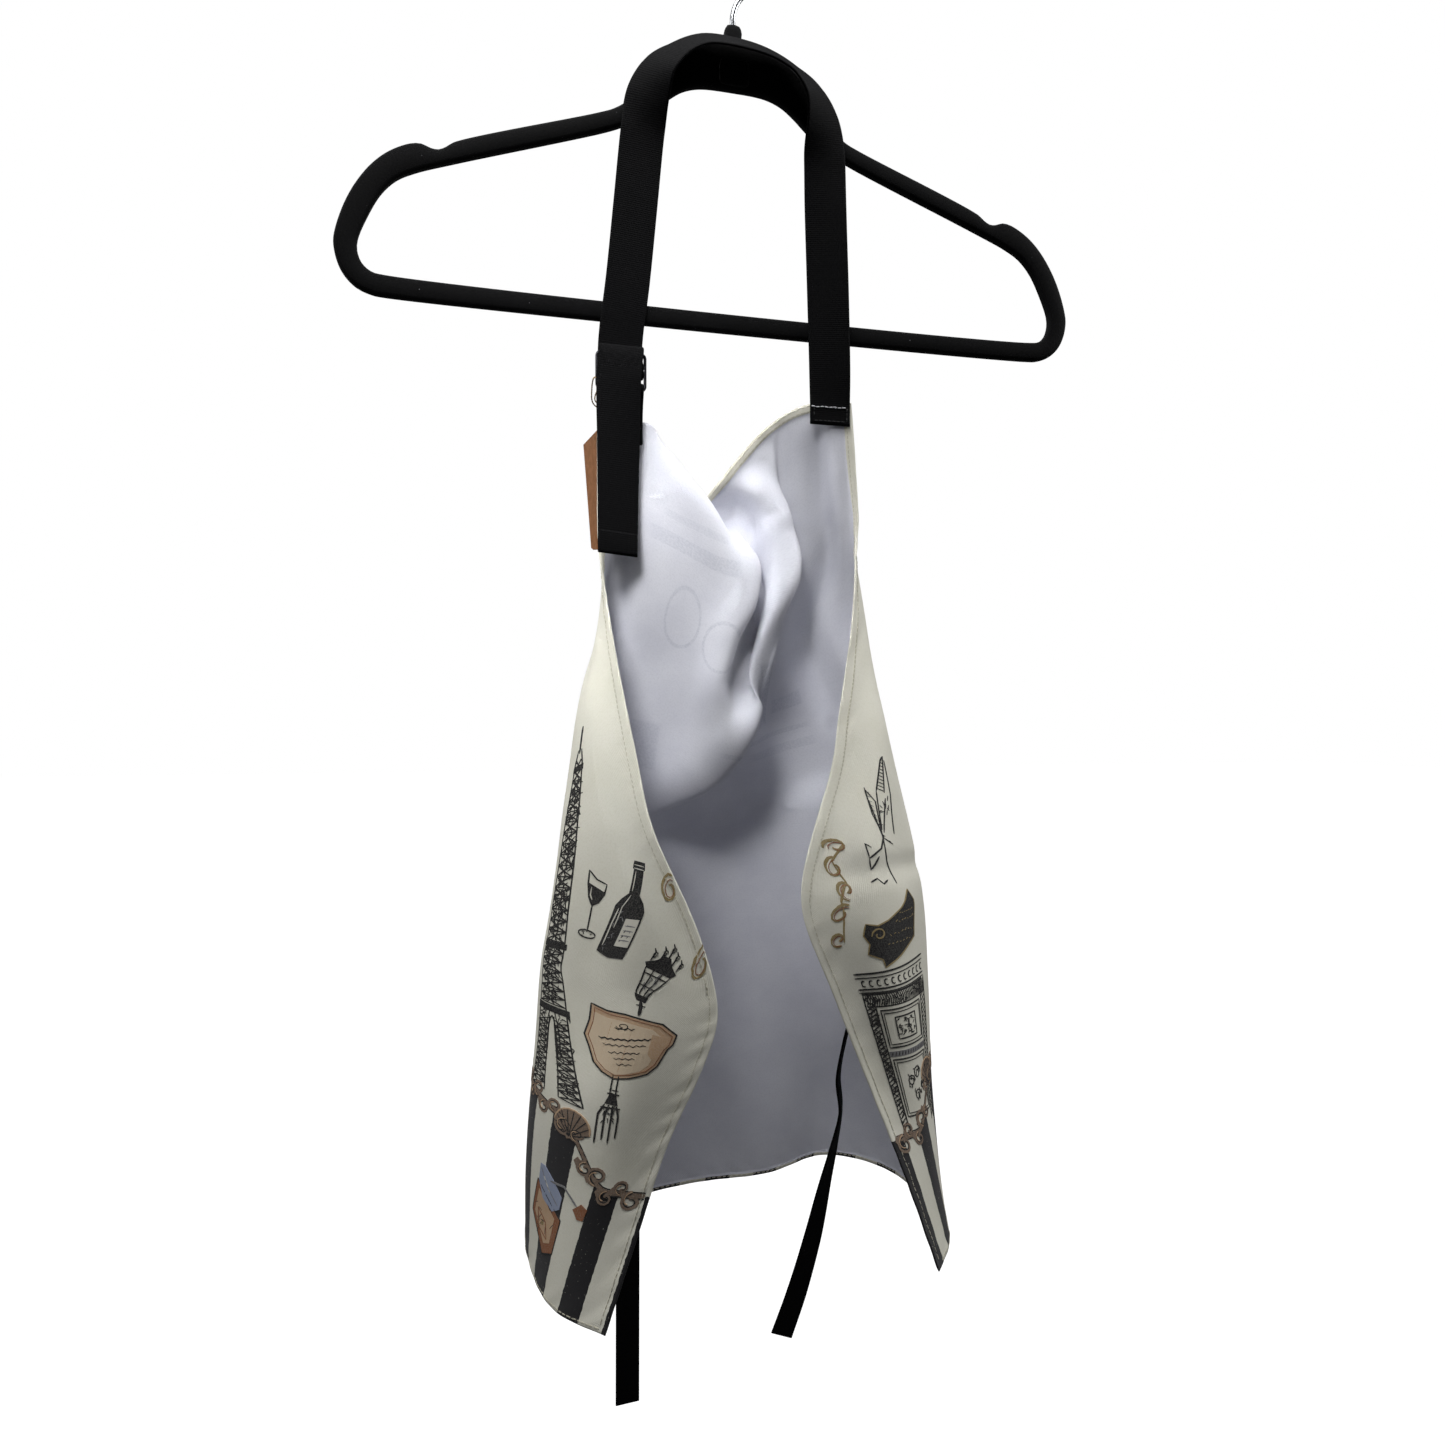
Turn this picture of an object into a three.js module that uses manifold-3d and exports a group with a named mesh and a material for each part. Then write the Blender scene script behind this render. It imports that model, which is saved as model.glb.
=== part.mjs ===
// A child's bib apron hanging by its neck strap from a flocked clothes hanger with a swivel hook.
// Millimetres, +Z up. The origin is the point where a rail carries the hook: the inner crown of
// the hook. The hanger lies in the XZ plane. The apron opens towards -Y: its inner, unprinted
// face looks that way and the printed face is outside.
import * as THREE from "three";
import { mergeVertices } from "three/addons/utils/BufferGeometryUtils.js";
import Module from "manifold-3d";

const manifold = await Module();
manifold.setup();
const { Manifold, Mesh } = manifold;

// Hook
const WIRE_R = 1.6;
const HOOK_INNER_R = 19;
const HOOK_TIP_DEG = 205;
const NECK_TOP_Z = -62;
const WIRE_END_Z = -91;

// Hanger body
const BODY_THICK = 6;
const HALF_SPAN = 222.5;
const BAR_LOW_Z = -242;
const BAR_HIGH_Z = -230.5;
const BORE_R = 1.65;
const NECK_HALF_W = 5.3;
const POCKET = { halfW: 6.5, low: -95.8, high: -85.6, front: -3.6 };
const BOSS = { halfW: 8.5, low: -97.8, high: -83.6, front: -4.8 };
const NUT = { r: 3.4, thick: 3, z: -87.4 };

// Cloth, webbing and tapes
const CLOTH_T = 1.2;
const APRON_LENGTH = 495;
const APRON_WIDTH = 530;
const BIB_WIDTH = 220;
const SIDE_EDGE = 190;
const WEBBING_W = 25.4;
const WEBBING_T = 1.5;
const TIE_W = 13;
const TIE_T = 1.2;

// Slide buckle
const BUCKLE = { x: -68, y: -8.2, w: 27.6, thick: 2.2, side: 1.6 };
const BUCKLE_BARS = [
  { low: -265, high: -262 },
  { low: -274.5, high: -271.5 },
  { low: -285.5, high: -282.5 },
];

// Swing tag
const TAG = {
  w: 40, h: 73, thick: 0.8, chamfer: 11, top: -297, x: -66, y: 20, hole: 2, eyeDrop: 7, lean: 4.2,
};

// Waist ties: where each is sewn on, then [x, y, z, [direction of the width]] down to its end.
const TIE_SEAM_HEIGHT = 182;
const TIE_LEFT = {
  across: -0.8,
  fall: [
    [-71.5, -37.5, -636, [-0.9, 0.43, 0]],
    [-71, -39.5, -655, [-0.97, 0.25, 0]],
    [-70, -41.5, -690, [-1, 0, 0]],
    [-70, -42, -750, [-1, -0.1, 0]],
    [-70, -41.5, -800, [-1, -0.1, 0]],
    [-70, -41, -838, [-1, -0.1, 0]],
  ],
};
const TIE_RIGHT = {
  across: 0.83,
  fall: [
    [67, -47.5, -606, [-0.8, -0.6, 0]],
    [60.5, -41.5, -632, [-0.5, -0.86, 0]],
    [55.8, -37.2, -656, [-0.5, -0.86, 0]],
    [52.8, -35.6, -676, [-0.5, -0.86, 0]],
    [54.4, -35, -695, [-0.45, -0.89, 0]],
    [50, -35, -716, [-0.66, -0.75, 0]],
    [45, -35, -735, [-0.8, -0.6, 0]],
    [37, -36, -765, [-0.95, -0.3, 0]],
    [27.5, -36, -795, [-1, -0.1, 0]],
    [18.5, -36, -818, [-1, 0, 0]],
  ],
};

const GROUP_NAME = "apron_on_a_hook";
const group = new THREE.Group();
group.name = GROUP_NAME;

const MATERIALS = {
  steel: new THREE.MeshStandardMaterial({ color: 0xb9bcc0, roughness: 0.25, metalness: 1 }),
  flock: new THREE.MeshStandardMaterial({ color: 0x0b0b0d, roughness: 0.95, metalness: 0 }),
  cloth: new THREE.MeshStandardMaterial({ color: 0xe4e3d6, roughness: 0.85, metalness: 0 }),
  webbing: new THREE.MeshStandardMaterial({ color: 0x0d0d10, roughness: 0.8, metalness: 0 }),
  buckle: new THREE.MeshStandardMaterial({ color: 0x2a2b2e, roughness: 0.35, metalness: 1 }),
  thread: new THREE.MeshStandardMaterial({ color: 0xd9d9de, roughness: 0.7, metalness: 0 }),
  tie: new THREE.MeshStandardMaterial({ color: 0x101013, roughness: 0.8, metalness: 0 }),
  card: new THREE.MeshStandardMaterial({ color: 0x9b6c4e, roughness: 0.9, metalness: 0 }),
};

function toSolid(geometry) {
  const plain = new THREE.BufferGeometry();
  const source = geometry.index ? geometry.toNonIndexed() : geometry;
  plain.setAttribute("position", source.getAttribute("position"));
  const merged = mergeVertices(plain, 1e-4);
  return new Manifold(
    new Mesh({
      numProp: 3,
      vertProperties: Float32Array.from(merged.attributes.position.array),
      triVerts: Uint32Array.from(merged.index.array),
    }),
  );
}

function toGeometry(solid) {
  const mesh = solid.getMesh();
  const geometry = new THREE.BufferGeometry();
  geometry.setAttribute("position", new THREE.BufferAttribute(mesh.vertProperties, 3));
  geometry.setIndex(new THREE.BufferAttribute(mesh.triVerts, 1));
  geometry.computeVertexNormals();
  return geometry;
}

function add(name, shape, material) {
  const geometry = shape.isBufferGeometry ? shape : toGeometry(shape);
  const mesh = new THREE.Mesh(geometry, material);
  mesh.name = name;
  group.add(mesh);
}

const mix = (a, b, t) => a + (b - a) * t;

// A plate in the XZ plane, centred on y.
function plate(shape, thick, y) {
  const geometry = new THREE.ExtrudeGeometry(shape, {
    depth: thick,
    bevelEnabled: false,
    curveSegments: 16,
  });
  geometry.rotateX(Math.PI / 2);
  geometry.translate(0, y + thick / 2, 0);
  return geometry;
}

function box(width, depth, height, x, y, z) {
  return toSolid(new THREE.BoxGeometry(width, depth, height).translate(x, y, z));
}

function postZ(radius, low, high, x, y, sides) {
  const geometry = new THREE.CylinderGeometry(radius, radius, high - low, sides);
  geometry.rotateX(Math.PI / 2);
  geometry.translate(x, y, (low + high) / 2);
  return toSolid(geometry);
}

// A box of across x along cells, bent so that place(u, v, side) gives each of its vertices.
// u and v run from 0 to 1; side is -1 on one face and 1 on the other.
function bent(across, along, place) {
  const geometry = new THREE.BoxGeometry(1, 1, 2, across, along, 1);
  const position = geometry.getAttribute("position");
  for (let i = 0; i < position.count; i += 1) {
    const u = position.getX(i) + 0.5;
    const v = position.getY(i) + 0.5;
    const point = place(u, v, position.getZ(i));
    position.setXYZ(i, point.x, point.y, point.z);
  }
  return outward(geometry);
}

// Turns the faces round if the bend has turned the box inside out.
function outward(geometry) {
  const position = geometry.getAttribute("position");
  const index = geometry.getIndex();
  const corner = [new THREE.Vector3(), new THREE.Vector3(), new THREE.Vector3()];
  let volume = 0;
  for (let i = 0; i < index.count; i += 3) {
    corner.forEach((v, k) => v.fromBufferAttribute(position, index.getX(i + k)));
    volume += corner[0].dot(corner[1].clone().cross(corner[2]));
  }
  if (volume < 0) {
    for (let i = 0; i < index.count; i += 3) {
      const kept = index.getX(i + 1);
      index.setX(i + 1, index.getX(i + 2));
      index.setX(i + 2, kept);
    }
  }
  const plain = new THREE.BufferGeometry();
  plain.setAttribute("position", position);
  plain.setIndex(index);
  const merged = mergeVertices(plain, 1e-4);
  merged.computeVertexNormals();
  return merged;
}

// A tape that follows stations [x, y, z, [direction of its width]].
function tape(stations, width, thick, along) {
  const points = stations.map(([x, y, z]) => new THREE.Vector3(x, y, z));
  const curve = new THREE.CatmullRomCurve3(points, false, "centripetal");
  const last = stations.length - 1;
  return bent(1, along, (u, v, side) => {
    const at = curve.getPoint(v);
    const tangent = curve.getTangent(v);
    const place = v * last;
    const i = Math.min(last - 1, Math.floor(place));
    const across = new THREE.Vector3(...stations[i][3]).lerp(
      new THREE.Vector3(...stations[i + 1][3]),
      place - i,
    );
    across.addScaledVector(tangent, -across.dot(tangent)).normalize();
    const face = new THREE.Vector3().crossVectors(tangent, across);
    at.addScaledVector(across, (u - 0.5) * width);
    return at.addScaledVector(face, (side * thick) / 2);
  });
}

// Hook: a wire with its end riveted into a retaining nut in the hanger's pocket.
function hookWire() {
  const centre = new THREE.Vector3(0, 0, -HOOK_INNER_R);
  const bendR = HOOK_INNER_R + WIRE_R;
  const points = [
    new THREE.Vector3(0, 0, WIRE_END_Z),
    new THREE.Vector3(0, 0, -80),
    new THREE.Vector3(0, 0, NECK_TOP_Z),
    new THREE.Vector3(0, 0, -56),
    new THREE.Vector3(2.6, 0, -47.5),
    new THREE.Vector3(9.5, 0, -38.8),
  ];
  for (let degree = -35; degree <= HOOK_TIP_DEG; degree += 20) {
    const angle = THREE.MathUtils.degToRad(degree);
    points.push(
      new THREE.Vector3(Math.cos(angle) * bendR, 0, Math.sin(angle) * bendR).add(centre),
    );
  }
  const curve = new THREE.CatmullRomCurve3(points, false, "centripetal");
  const length = curve.getLength();
  const segments = Math.round(length / 2.2);
  const ring = new THREE.Shape().absarc(0, 0, WIRE_R, 0, Math.PI * 2);
  return new THREE.ExtrudeGeometry(ring, {
    steps: segments,
    extrudePath: curve,
    curveSegments: 12,
    bevelEnabled: false,
  });
}

// Upper and lower edges of half the hanger, from the neck outwards.
const TOP_EDGE = [
  [NECK_HALF_W, -71.8],
  [20, -73.4],
  [30, -77.2],
  [38, -83],
  [45, -90],
  [52, -99.5],
  [58, -108.8],
  [64, -116.2],
  [71, -121.2],
  [80, -125],
  [160, -153.5],
  [164, -156.5],
  [168, -158.5],
  [172, -158.3],
  [177, -156.6],
  [183, -157.4],
  [194, -163],
  [203, -171],
  [211, -182],
  [217, -194],
  [221.5, -208],
  [HALF_SPAN, -215],
  [221, -224],
  [217.5, -231.5],
  [211, -238],
  [203, -241.2],
  [196, BAR_LOW_Z],
];
const LOW_EDGE = [
  [0, -100],
  [20, -100.9],
  [30, -104.2],
  [38, -109.8],
  [46, -117],
  [56, -124.6],
  [66, -130.2],
  [76, -134.6],
  [160, -164.4],
  [180, -172],
  [190, -177.5],
  [198, -186],
  [205, -199],
  [210, -212],
  [210.3, -218],
  [208, -225],
  [203, -229.3],
  [196, BAR_HIGH_Z],
];

// A block centred on x = 0 from its low to its high, between two depths.
function slab({ halfW, low, high }, front, back) {
  const deep = back - front;
  return box(halfW * 2, deep, high - low, 0, (front + back) / 2, (low + high) / 2);
}

function hangerBody() {
  const mirror = ([x, z]) => [-x, z];
  const outline = [
    [NECK_HALF_W, NECK_TOP_Z - 4],
    [NECK_HALF_W - 1.6, NECK_TOP_Z],
    [1.6 - NECK_HALF_W, NECK_TOP_Z],
    [-NECK_HALF_W, NECK_TOP_Z - 4],
    ...TOP_EDGE.map(mirror),
    ...[...TOP_EDGE].reverse(),
  ];
  const opening = [...LOW_EDGE.map(mirror).reverse(), ...LOW_EDGE.slice(1)];
  const shape = new THREE.Shape(outline.map(([x, z]) => new THREE.Vector2(x, z)));
  shape.holes.push(new THREE.Path(opening.map(([x, z]) => new THREE.Vector2(x, z))));
  const body = toSolid(plate(shape, BODY_THICK, 0));
  const boss = slab(BOSS, BOSS.front, 0);
  const pocket = slab(POCKET, POCKET.front, BODY_THICK);
  const bore = postZ(BORE_R, POCKET.high - 2, NECK_TOP_Z + 5, 0, 0, 24);
  return body.add(boss).subtract(pocket).subtract(bore);
}

// Half of the flat width of the apron at a height above its hem.
function halfWidth(height) {
  if (height <= SIDE_EDGE) return APRON_WIDTH / 2;
  const rise = (height - SIDE_EDGE) / (APRON_LENGTH - SIDE_EDGE);
  return mix(BIB_WIDTH / 2, APRON_WIDTH / 2, (1 - rise) ** 2.2);
}

// How the apron hangs. Each row is a height above the hem along the flat cloth, and the places
// [x, y, z] of the COLUMNS of the cloth at that height, from the left edge to the right.
const COLUMNS = [-1, -0.85, -0.7, -0.5, -0.3, -0.1, 0.1, 0.3, 0.5, 0.7, 0.85, 1];
const HANGING = [
  {
    height: 0,
    places: [
      [-86, -67, -785],
      [-109, -35, -786],
      [-118, 3, -782],
      [-112, 55, -781],
      [-68, 73, -783],
      [-14, 71, -775],
      [40, 75, -776],
      [87, 82, -770],
      [122, 47, -771],
      [127, -8, -774],
      [118, -46, -772],
      [94, -80, -770],
    ],
  },
  {
    height: 45,
    places: [
      [-69, -64, -739],
      [-98, -43, -739],
      [-116, 0, -737],
      [-111, 50, -735],
      [-70, 68, -736],
      [-15, 68, -731],
      [38, 71, -730],
      [86, 72, -725],
      [121, 40, -726],
      [126, -10, -727],
      [106, -50, -724],
      [78, -74, -723],
    ],
  },
  {
    height: 95,
    places: [
      [-52, -61, -693],
      [-84, -50, -690],
      [-112, -6, -686],
      [-110, 42, -685],
      [-73, 62, -684],
      [-17, 65, -683],
      [36, 67, -681],
      [84, 60, -677],
      [118, 30, -678],
      [121, -14, -678],
      [92, -54, -674],
      [59, -65, -671],
    ],
  },
  {
    height: 145,
    places: [
      [-32, -60, -653],
      [-70, -53, -652],
      [-104, -12, -647],
      [-110, 32, -644],
      [-74, 56, -640],
      [-19, 62, -637],
      [34, 64, -634],
      [82, 52, -630],
      [117, 22, -630],
      [116, -20, -629],
      [78, -57, -624],
      [40, -58, -619],
    ],
  },
  {
    height: 190,
    places: [
      [-24, -57, -621],
      [-62, -52, -617],
      [-97, -16, -611],
      [-108, 24, -605],
      [-72, 50, -597],
      [-21, 60, -592],
      [32, 61, -589],
      [80, 47, -585],
      [114, 16, -581],
      [110, -24, -578],
      [66, -57, -575],
      [24, -51, -571],
    ],
  },
  {
    height: 225,
    places: [
      [-36, -52, -578],
      [-70, -43, -573],
      [-100, -9, -570],
      [-99, 30, -568],
      [-64, 48, -565],
      [-18, 56, -563],
      [28, 58, -561],
      [72, 48, -557],
      [106, 20, -552],
      [108, -17, -546],
      [74, -46, -540],
      [34, -46, -533],
    ],
  },
  {
    height: 260,
    places: [
      [-57, -45, -531],
      [-83, -31, -529],
      [-100, -2, -529],
      [-89, 33, -531],
      [-56, 45, -533],
      [-16, 50, -535],
      [24, 54, -533],
      [64, 48, -529],
      [98, 26, -523],
      [104, -8, -515],
      [83, -33, -505],
      [48, -39, -497],
    ],
  },
  {
    height: 292,
    places: [
      [-64, -37, -493],
      [-87, -21, -493],
      [-95, 6, -497],
      [-78, 30, -502],
      [-46, 28, -506],
      [-12, 22, -509],
      [20, 42, -509],
      [56, 50, -503],
      [89, 32, -494],
      [98, 2, -485],
      [86, -22, -474],
      [54, -34, -467],
    ],
  },
  {
    height: 325,
    places: [
      [-70, -28, -457],
      [-86, -12, -459],
      [-89, 9, -464],
      [-67, 21, -469],
      [-39, 15, -475],
      [-12, 7, -481],
      [12, 9, -481],
      [34, 36, -473],
      [66, 39, -464],
      [90, 18, -455],
      [87, -9, -447],
      [61, -28, -439],
    ],
  },
  {
    height: 355,
    places: [
      [-75, -19, -423],
      [-82, -3, -427],
      [-77, 12, -432],
      [-53, 11, -439],
      [-27, 3, -447],
      [-7, -2, -455],
      [12, 13, -455],
      [27, 8, -443],
      [44, 32, -431],
      [71, 30, -419],
      [86, 6, -409],
      [69, -19, -405],
    ],
  },
  {
    height: 390,
    places: [
      [-79, -8, -389],
      [-75, 4, -394],
      [-60, 3, -400],
      [-40, -1, -410],
      [-19, -4, -421],
      [2, -5, -429],
      [19, 12, -423],
      [33, 5, -406],
      [47, 27, -394],
      [67, 22, -381],
      [79, 7, -375],
      [75, -9, -373],
    ],
  },
  {
    height: 420,
    places: [
      [-81, -5, -366],
      [-67, -3, -369],
      [-51, -5, -374],
      [-32, -7, -383],
      [-11, -8, -394],
      [11, -8, -401],
      [23, 13, -393],
      [36, 6, -378],
      [46, 24, -364],
      [61, 14, -356],
      [73, 4, -351],
      [78, -5, -350],
    ],
  },
  {
    height: 445,
    places: [
      [-81, -4, -345],
      [-66, -4, -346],
      [-49, -6, -350],
      [-30, -9, -359],
      [-9, -10, -368],
      [9, -3, -369],
      [15, 20, -368],
      [26, 10, -357],
      [38, 20, -342],
      [53, 12, -332],
      [66, 2, -329],
      [77, -4, -327],
    ],
  },
  {
    height: 466,
    places: [
      [-81, -4, -327],
      [-65, -4, -327],
      [-49, -4.2, -328],
      [-30, -9, -335],
      [-14, -5, -343],
      [-4, 12, -362],
      [6, 23, -352],
      [19, 13, -337],
      [32, 16, -322],
      [48, 9, -311],
      [61, 0, -308],
      [76, -3.4, -307],
    ],
  },
  {
    height: 482,
    places: [
      [-81, -3, -312],
      [-65, -3, -312],
      [-49, -2.8, -312],
      [-32, -1, -321],
      [-25, 12, -335],
      [-19, 19, -356],
      [-3, 20, -341],
      [14, 13, -322],
      [27, 12, -306],
      [44, 6, -295],
      [59, -2, -292],
      [75, -2.7, -292],
    ],
  },
  {
    height: 495,
    places: [
      [-81, -3, -300],
      [-65, -3, -300],
      [-49, -1, -301],
      [-40, 12, -316],
      [-34, 20, -335],
      [-27, 22, -355],
      [-9, 15, -333],
      [9, 12, -310],
      [24, 10, -294],
      [42, 5, -282],
      [57, -2, -279],
      [74, -2.5, -279],
    ],
  },
];

// Slopes for a smooth curve through values at knots.
function slopes(knots, values) {
  const last = knots.length - 1;
  return values.map((value, k) => {
    if (k === 0 || k === last) {
      const i = Math.min(k, last - 1);
      return (values[i + 1] - values[i]) / (knots[i + 1] - knots[i]);
    }
    const before = knots[k] - knots[k - 1];
    const after = knots[k + 1] - knots[k];
    const rise = (value - values[k - 1]) / before;
    const next = (values[k + 1] - value) / after;
    return mix(next, rise, after / (before + after));
  });
}

function smoothThrough(knots, values, at) {
  let i = knots.findIndex((knot) => knot > at) - 1;
  if (i < 0) i = at <= knots[0] ? 0 : knots.length - 2;
  const slope = slopes(knots, values);
  const h = knots[i + 1] - knots[i];
  const t = (at - knots[i]) / h;
  const t2 = t * t;
  const t3 = t2 * t;
  return (
    (2 * t3 - 3 * t2 + 1) * values[i] +
    (t3 - 2 * t2 + t) * h * slope[i] +
    (3 * t2 - 2 * t3) * values[i + 1] +
    (t3 - t2) * h * slope[i + 1]
  );
}

const HEIGHTS = HANGING.map((row) => row.height);

// A point of the hanging apron: across from -1 (left edge) to 1, height above the hem in mm.
function cloth(across, height) {
  const point = [0, 1, 2].map((axis) => {
    const column = COLUMNS.map((_, k) =>
      smoothThrough(
        HEIGHTS,
        HANGING.map((row) => row.places[k][axis]),
        height,
      ),
    );
    return smoothThrough(COLUMNS, column, across);
  });
  return new THREE.Vector3(...point);
}

function clothNormal(across, height) {
  const e = 0.004;
  const side = new THREE.Vector3().subVectors(
    cloth(Math.min(1, across + e), height),
    cloth(Math.max(-1, across - e), height),
  );
  const low = Math.max(0, height - 2);
  const high = Math.min(APRON_LENGTH, height + 2);
  const up = new THREE.Vector3().subVectors(cloth(across, high), cloth(across, low));
  return side.cross(up).normalize();
}

function apronPanel() {
  return bent(60, 44, (u, v, side) => {
    const across = u * 2 - 1;
    const height = v * APRON_LENGTH;
    const at = cloth(across, height);
    return at.addScaledVector(clothNormal(across, height), (side * CLOTH_T) / 2);
  });
}

// A patch sewn on the inner face, lifted clear of the cloth.
function patch(middle, height, width, tall, thick, lift) {
  return bent(2, 3, (u, v, side) => {
    const z = height + (v - 0.5) * tall;
    const across = middle + ((u - 0.5) * width) / halfWidth(z);
    const away = lift + (side * thick) / 2;
    return cloth(across, z).addScaledVector(clothNormal(across, z), away);
  });
}

const ACROSS_X = [1, 0, 0];

// The strap: sewn to the right bib corner, over the hanger's crown in front of its neck, down
// through the slide buckle, and its free end hanging in front.
function neckStrap() {
  const crown = (tilt) => {
    const angle = THREE.MathUtils.degToRad(tilt);
    return [0, Math.cos(angle), Math.sin(angle)];
  };
  const stations = [
    [59.5, -4.8, -294, ACROSS_X],
    [59.5, -4.8, -282, ACROSS_X],
    [59, -5.8, -262, [0.995, -0.1, 0]],
    [57.5, -6.6, -215, [0.985, -0.17, 0]],
    [56, -6.5, -165, [0.985, -0.17, 0]],
    [55.5, -6.2, -134, [0.995, -0.1, 0]],
    [53.5, -9.2, -114, [0.86, 0.3, 0.42]],
    [46.5, -12.6, -99, [0.5, 0.62, 0.6]],
    [35, -13.4, -89, [0.2, 0.72, 0.6]],
    [20, -13.6, -82.4, crown(42)],
    [0, -13.9, -79.6, crown(42)],
    [-20, -13.6, -80.4, crown(42)],
    [-35, -13.4, -88, [-0.2, 0.72, 0.6]],
    [-46.5, -12.6, -99, [-0.5, 0.62, 0.6]],
    [-52.5, -9.2, -114, [-0.86, 0.3, 0.42]],
    [-55, -5.6, -134, [-1, 0, 0]],
    [-59, -5.2, -175, [-1, 0, 0]],
    [-63.5, -5.2, -220, [-1, 0, 0]],
    [-66, -4.9, -240, [-1, 0, 0]],
    [-66.8, -4.6, -246, [-1, 0, 0]],
    [-67.8, -4.1, -258, [-1, 0, 0]],
    [-68, -4.1, -268, [-1, 0, 0]],
    [-68, -4.9, -272, [-1, 0, 0]],
    [-68, -5.9, -274.6, [-1, 0, 0]],
    [-68, -6.8, -276.7, [-1, 0, 0]],
    [-68, -8.2, -277.2, [-1, 0, 0]],
    [-68, -9.9, -276.2, [-1, 0, 0]],
    [-68, -10.5, -273, [-1, 0, 0]],
    [-68, -9.8, -270.2, [-1, 0, 0]],
    [-68, -7.8, -268.1, [-1, 0, 0]],
    [-68, -6.2, -265.5, [-1, 0, 0]],
    [-68, -6.05, -263, [-1, 0, 0]],
    [-68, -6.9, -260.7, [-1, 0, 0]],
    [-68, -8.6, -259.9, [-1, 0, 0]],
    [-68, -10.3, -260.7, [-1, 0, 0]],
    [-68.3, -11.5, -263.5, [-1, 0, 0]],
    [-69.3, -12.5, -269, [-1, 0, 0]],
    [-70, -13.3, -278, [-1, 0, 0]],
    [-70.3, -13.6, -292, [-0.99, -0.08, 0]],
    [-70.3, -13.7, -315, [-0.97, -0.2, 0]],
    [-70.6, -14.4, -345, [-0.95, -0.3, 0]],
    [-71, -15.6, -379, [-0.93, -0.36, 0]],
  ];
  return tape(stations, WEBBING_W, WEBBING_T, 170);
}

// Short webbing folded round the lowest bar of the buckle and sewn to the left bib corner.
function buckleAnchor() {
  const x = BUCKLE.x;
  const stations = [
    [x, -4.8, -314, ACROSS_X],
    [x, -4.8, -298, ACROSS_X],
    [x, -4.9, -293, ACROSS_X],
    [x, -5.7, -286, ACROSS_X],
    [x, -5.9, -282.6, ACROSS_X],
    [x, -7.1, -281, ACROSS_X],
    [x, -9.3, -281, ACROSS_X],
    [x, -10.5, -282.5, ACROSS_X],
    [x, -10.4, -285.6, ACROSS_X],
    [x, -8.9, -290, ACROSS_X],
    [x, -7.1, -298, ACROSS_X],
    [x, -6.9, -314, ACROSS_X],
  ];
  return tape(stations, WEBBING_W, WEBBING_T, 44);
}

// A frame of thread rows on a flat face that looks towards -Y.
function stitchFrame(x, y, z, width, tall) {
  const row = 0.9;
  const thick = 0.4;
  const outer = box(width, thick, tall, x, y, z);
  const inner = box(width - 2 * row, thick * 3, tall - 2 * row, x, y, z);
  return outer.subtract(inner);
}

// Thread rows across the turned end of the strap.
function tailStitching() {
  const bar = new THREE.BoxGeometry(22, 0.4, 1);
  bar.rotateZ(Math.atan2(0.35, 0.93));
  return toSolid(bar.translate(-71, -16.55, -370));
}

function slideBuckle() {
  const top = BUCKLE_BARS[0].high;
  const low = BUCKLE_BARS[2].low;
  const middle = (top + low) / 2;
  const tall = top - low;
  let frame = box(BUCKLE.side, BUCKLE.thick, tall, BUCKLE.x - BUCKLE.w / 2, BUCKLE.y, middle);
  frame = frame.add(
    box(BUCKLE.side, BUCKLE.thick, tall, BUCKLE.x + BUCKLE.w / 2, BUCKLE.y, middle),
  );
  for (const bar of BUCKLE_BARS) {
    const height = bar.high - bar.low;
    const z = (bar.high + bar.low) / 2;
    frame = frame.add(box(BUCKLE.w, BUCKLE.thick, height, BUCKLE.x, BUCKLE.y, z));
  }
  return frame;
}

// The inner face's direction across the cloth at a point.
function alongCloth(across, height) {
  const e = 0.01;
  return new THREE.Vector3()
    .subVectors(cloth(across + e, height), cloth(across - e, height))
    .normalize();
}

function waistTie({ across, fall }) {
  const lift = (CLOTH_T + TIE_T) / 2 + 2.4;
  const seam = [TIE_SEAM_HEIGHT + 5, TIE_SEAM_HEIGHT - 3].map((height) => {
    const at = cloth(across, height).addScaledVector(clothNormal(across, height), lift);
    return [...at, [...alongCloth(across, height)]];
  });
  return tape([...seam, ...fall], TIE_W, TIE_T, 40);
}

// A bar of thread across the sewn end of a waist tie.
function tieStitching({ across }) {
  const lift = CLOTH_T / 2 + TIE_T + 3.1;
  return patch(across, TIE_SEAM_HEIGHT + 2.5, TIE_W - 2, 3, 0.5, lift);
}

function hangTag() {
  const left = TAG.x - TAG.w / 2;
  const right = TAG.x + TAG.w / 2;
  const low = TAG.top - TAG.h;
  const outline = [
    [left + TAG.chamfer, TAG.top],
    [left, TAG.top - TAG.chamfer],
    [left, low],
    [right, low],
    [right, TAG.top - TAG.chamfer],
    [right - TAG.chamfer, TAG.top],
  ];
  const shape = new THREE.Shape(outline.map(([x, z]) => new THREE.Vector2(x, z)));
  const eyeZ = TAG.top - TAG.eyeDrop;
  const eye = new THREE.Path().absarc(TAG.x, eyeZ, TAG.hole, 0, Math.PI * 2, true);
  shape.holes.push(eye);
  const card = plate(shape, TAG.thick, TAG.y);
  card.translate(-TAG.x, 0, -eyeZ);
  card.rotateY(THREE.MathUtils.degToRad(-TAG.lean));
  return card.translate(TAG.x, 0, eyeZ);
}

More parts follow.
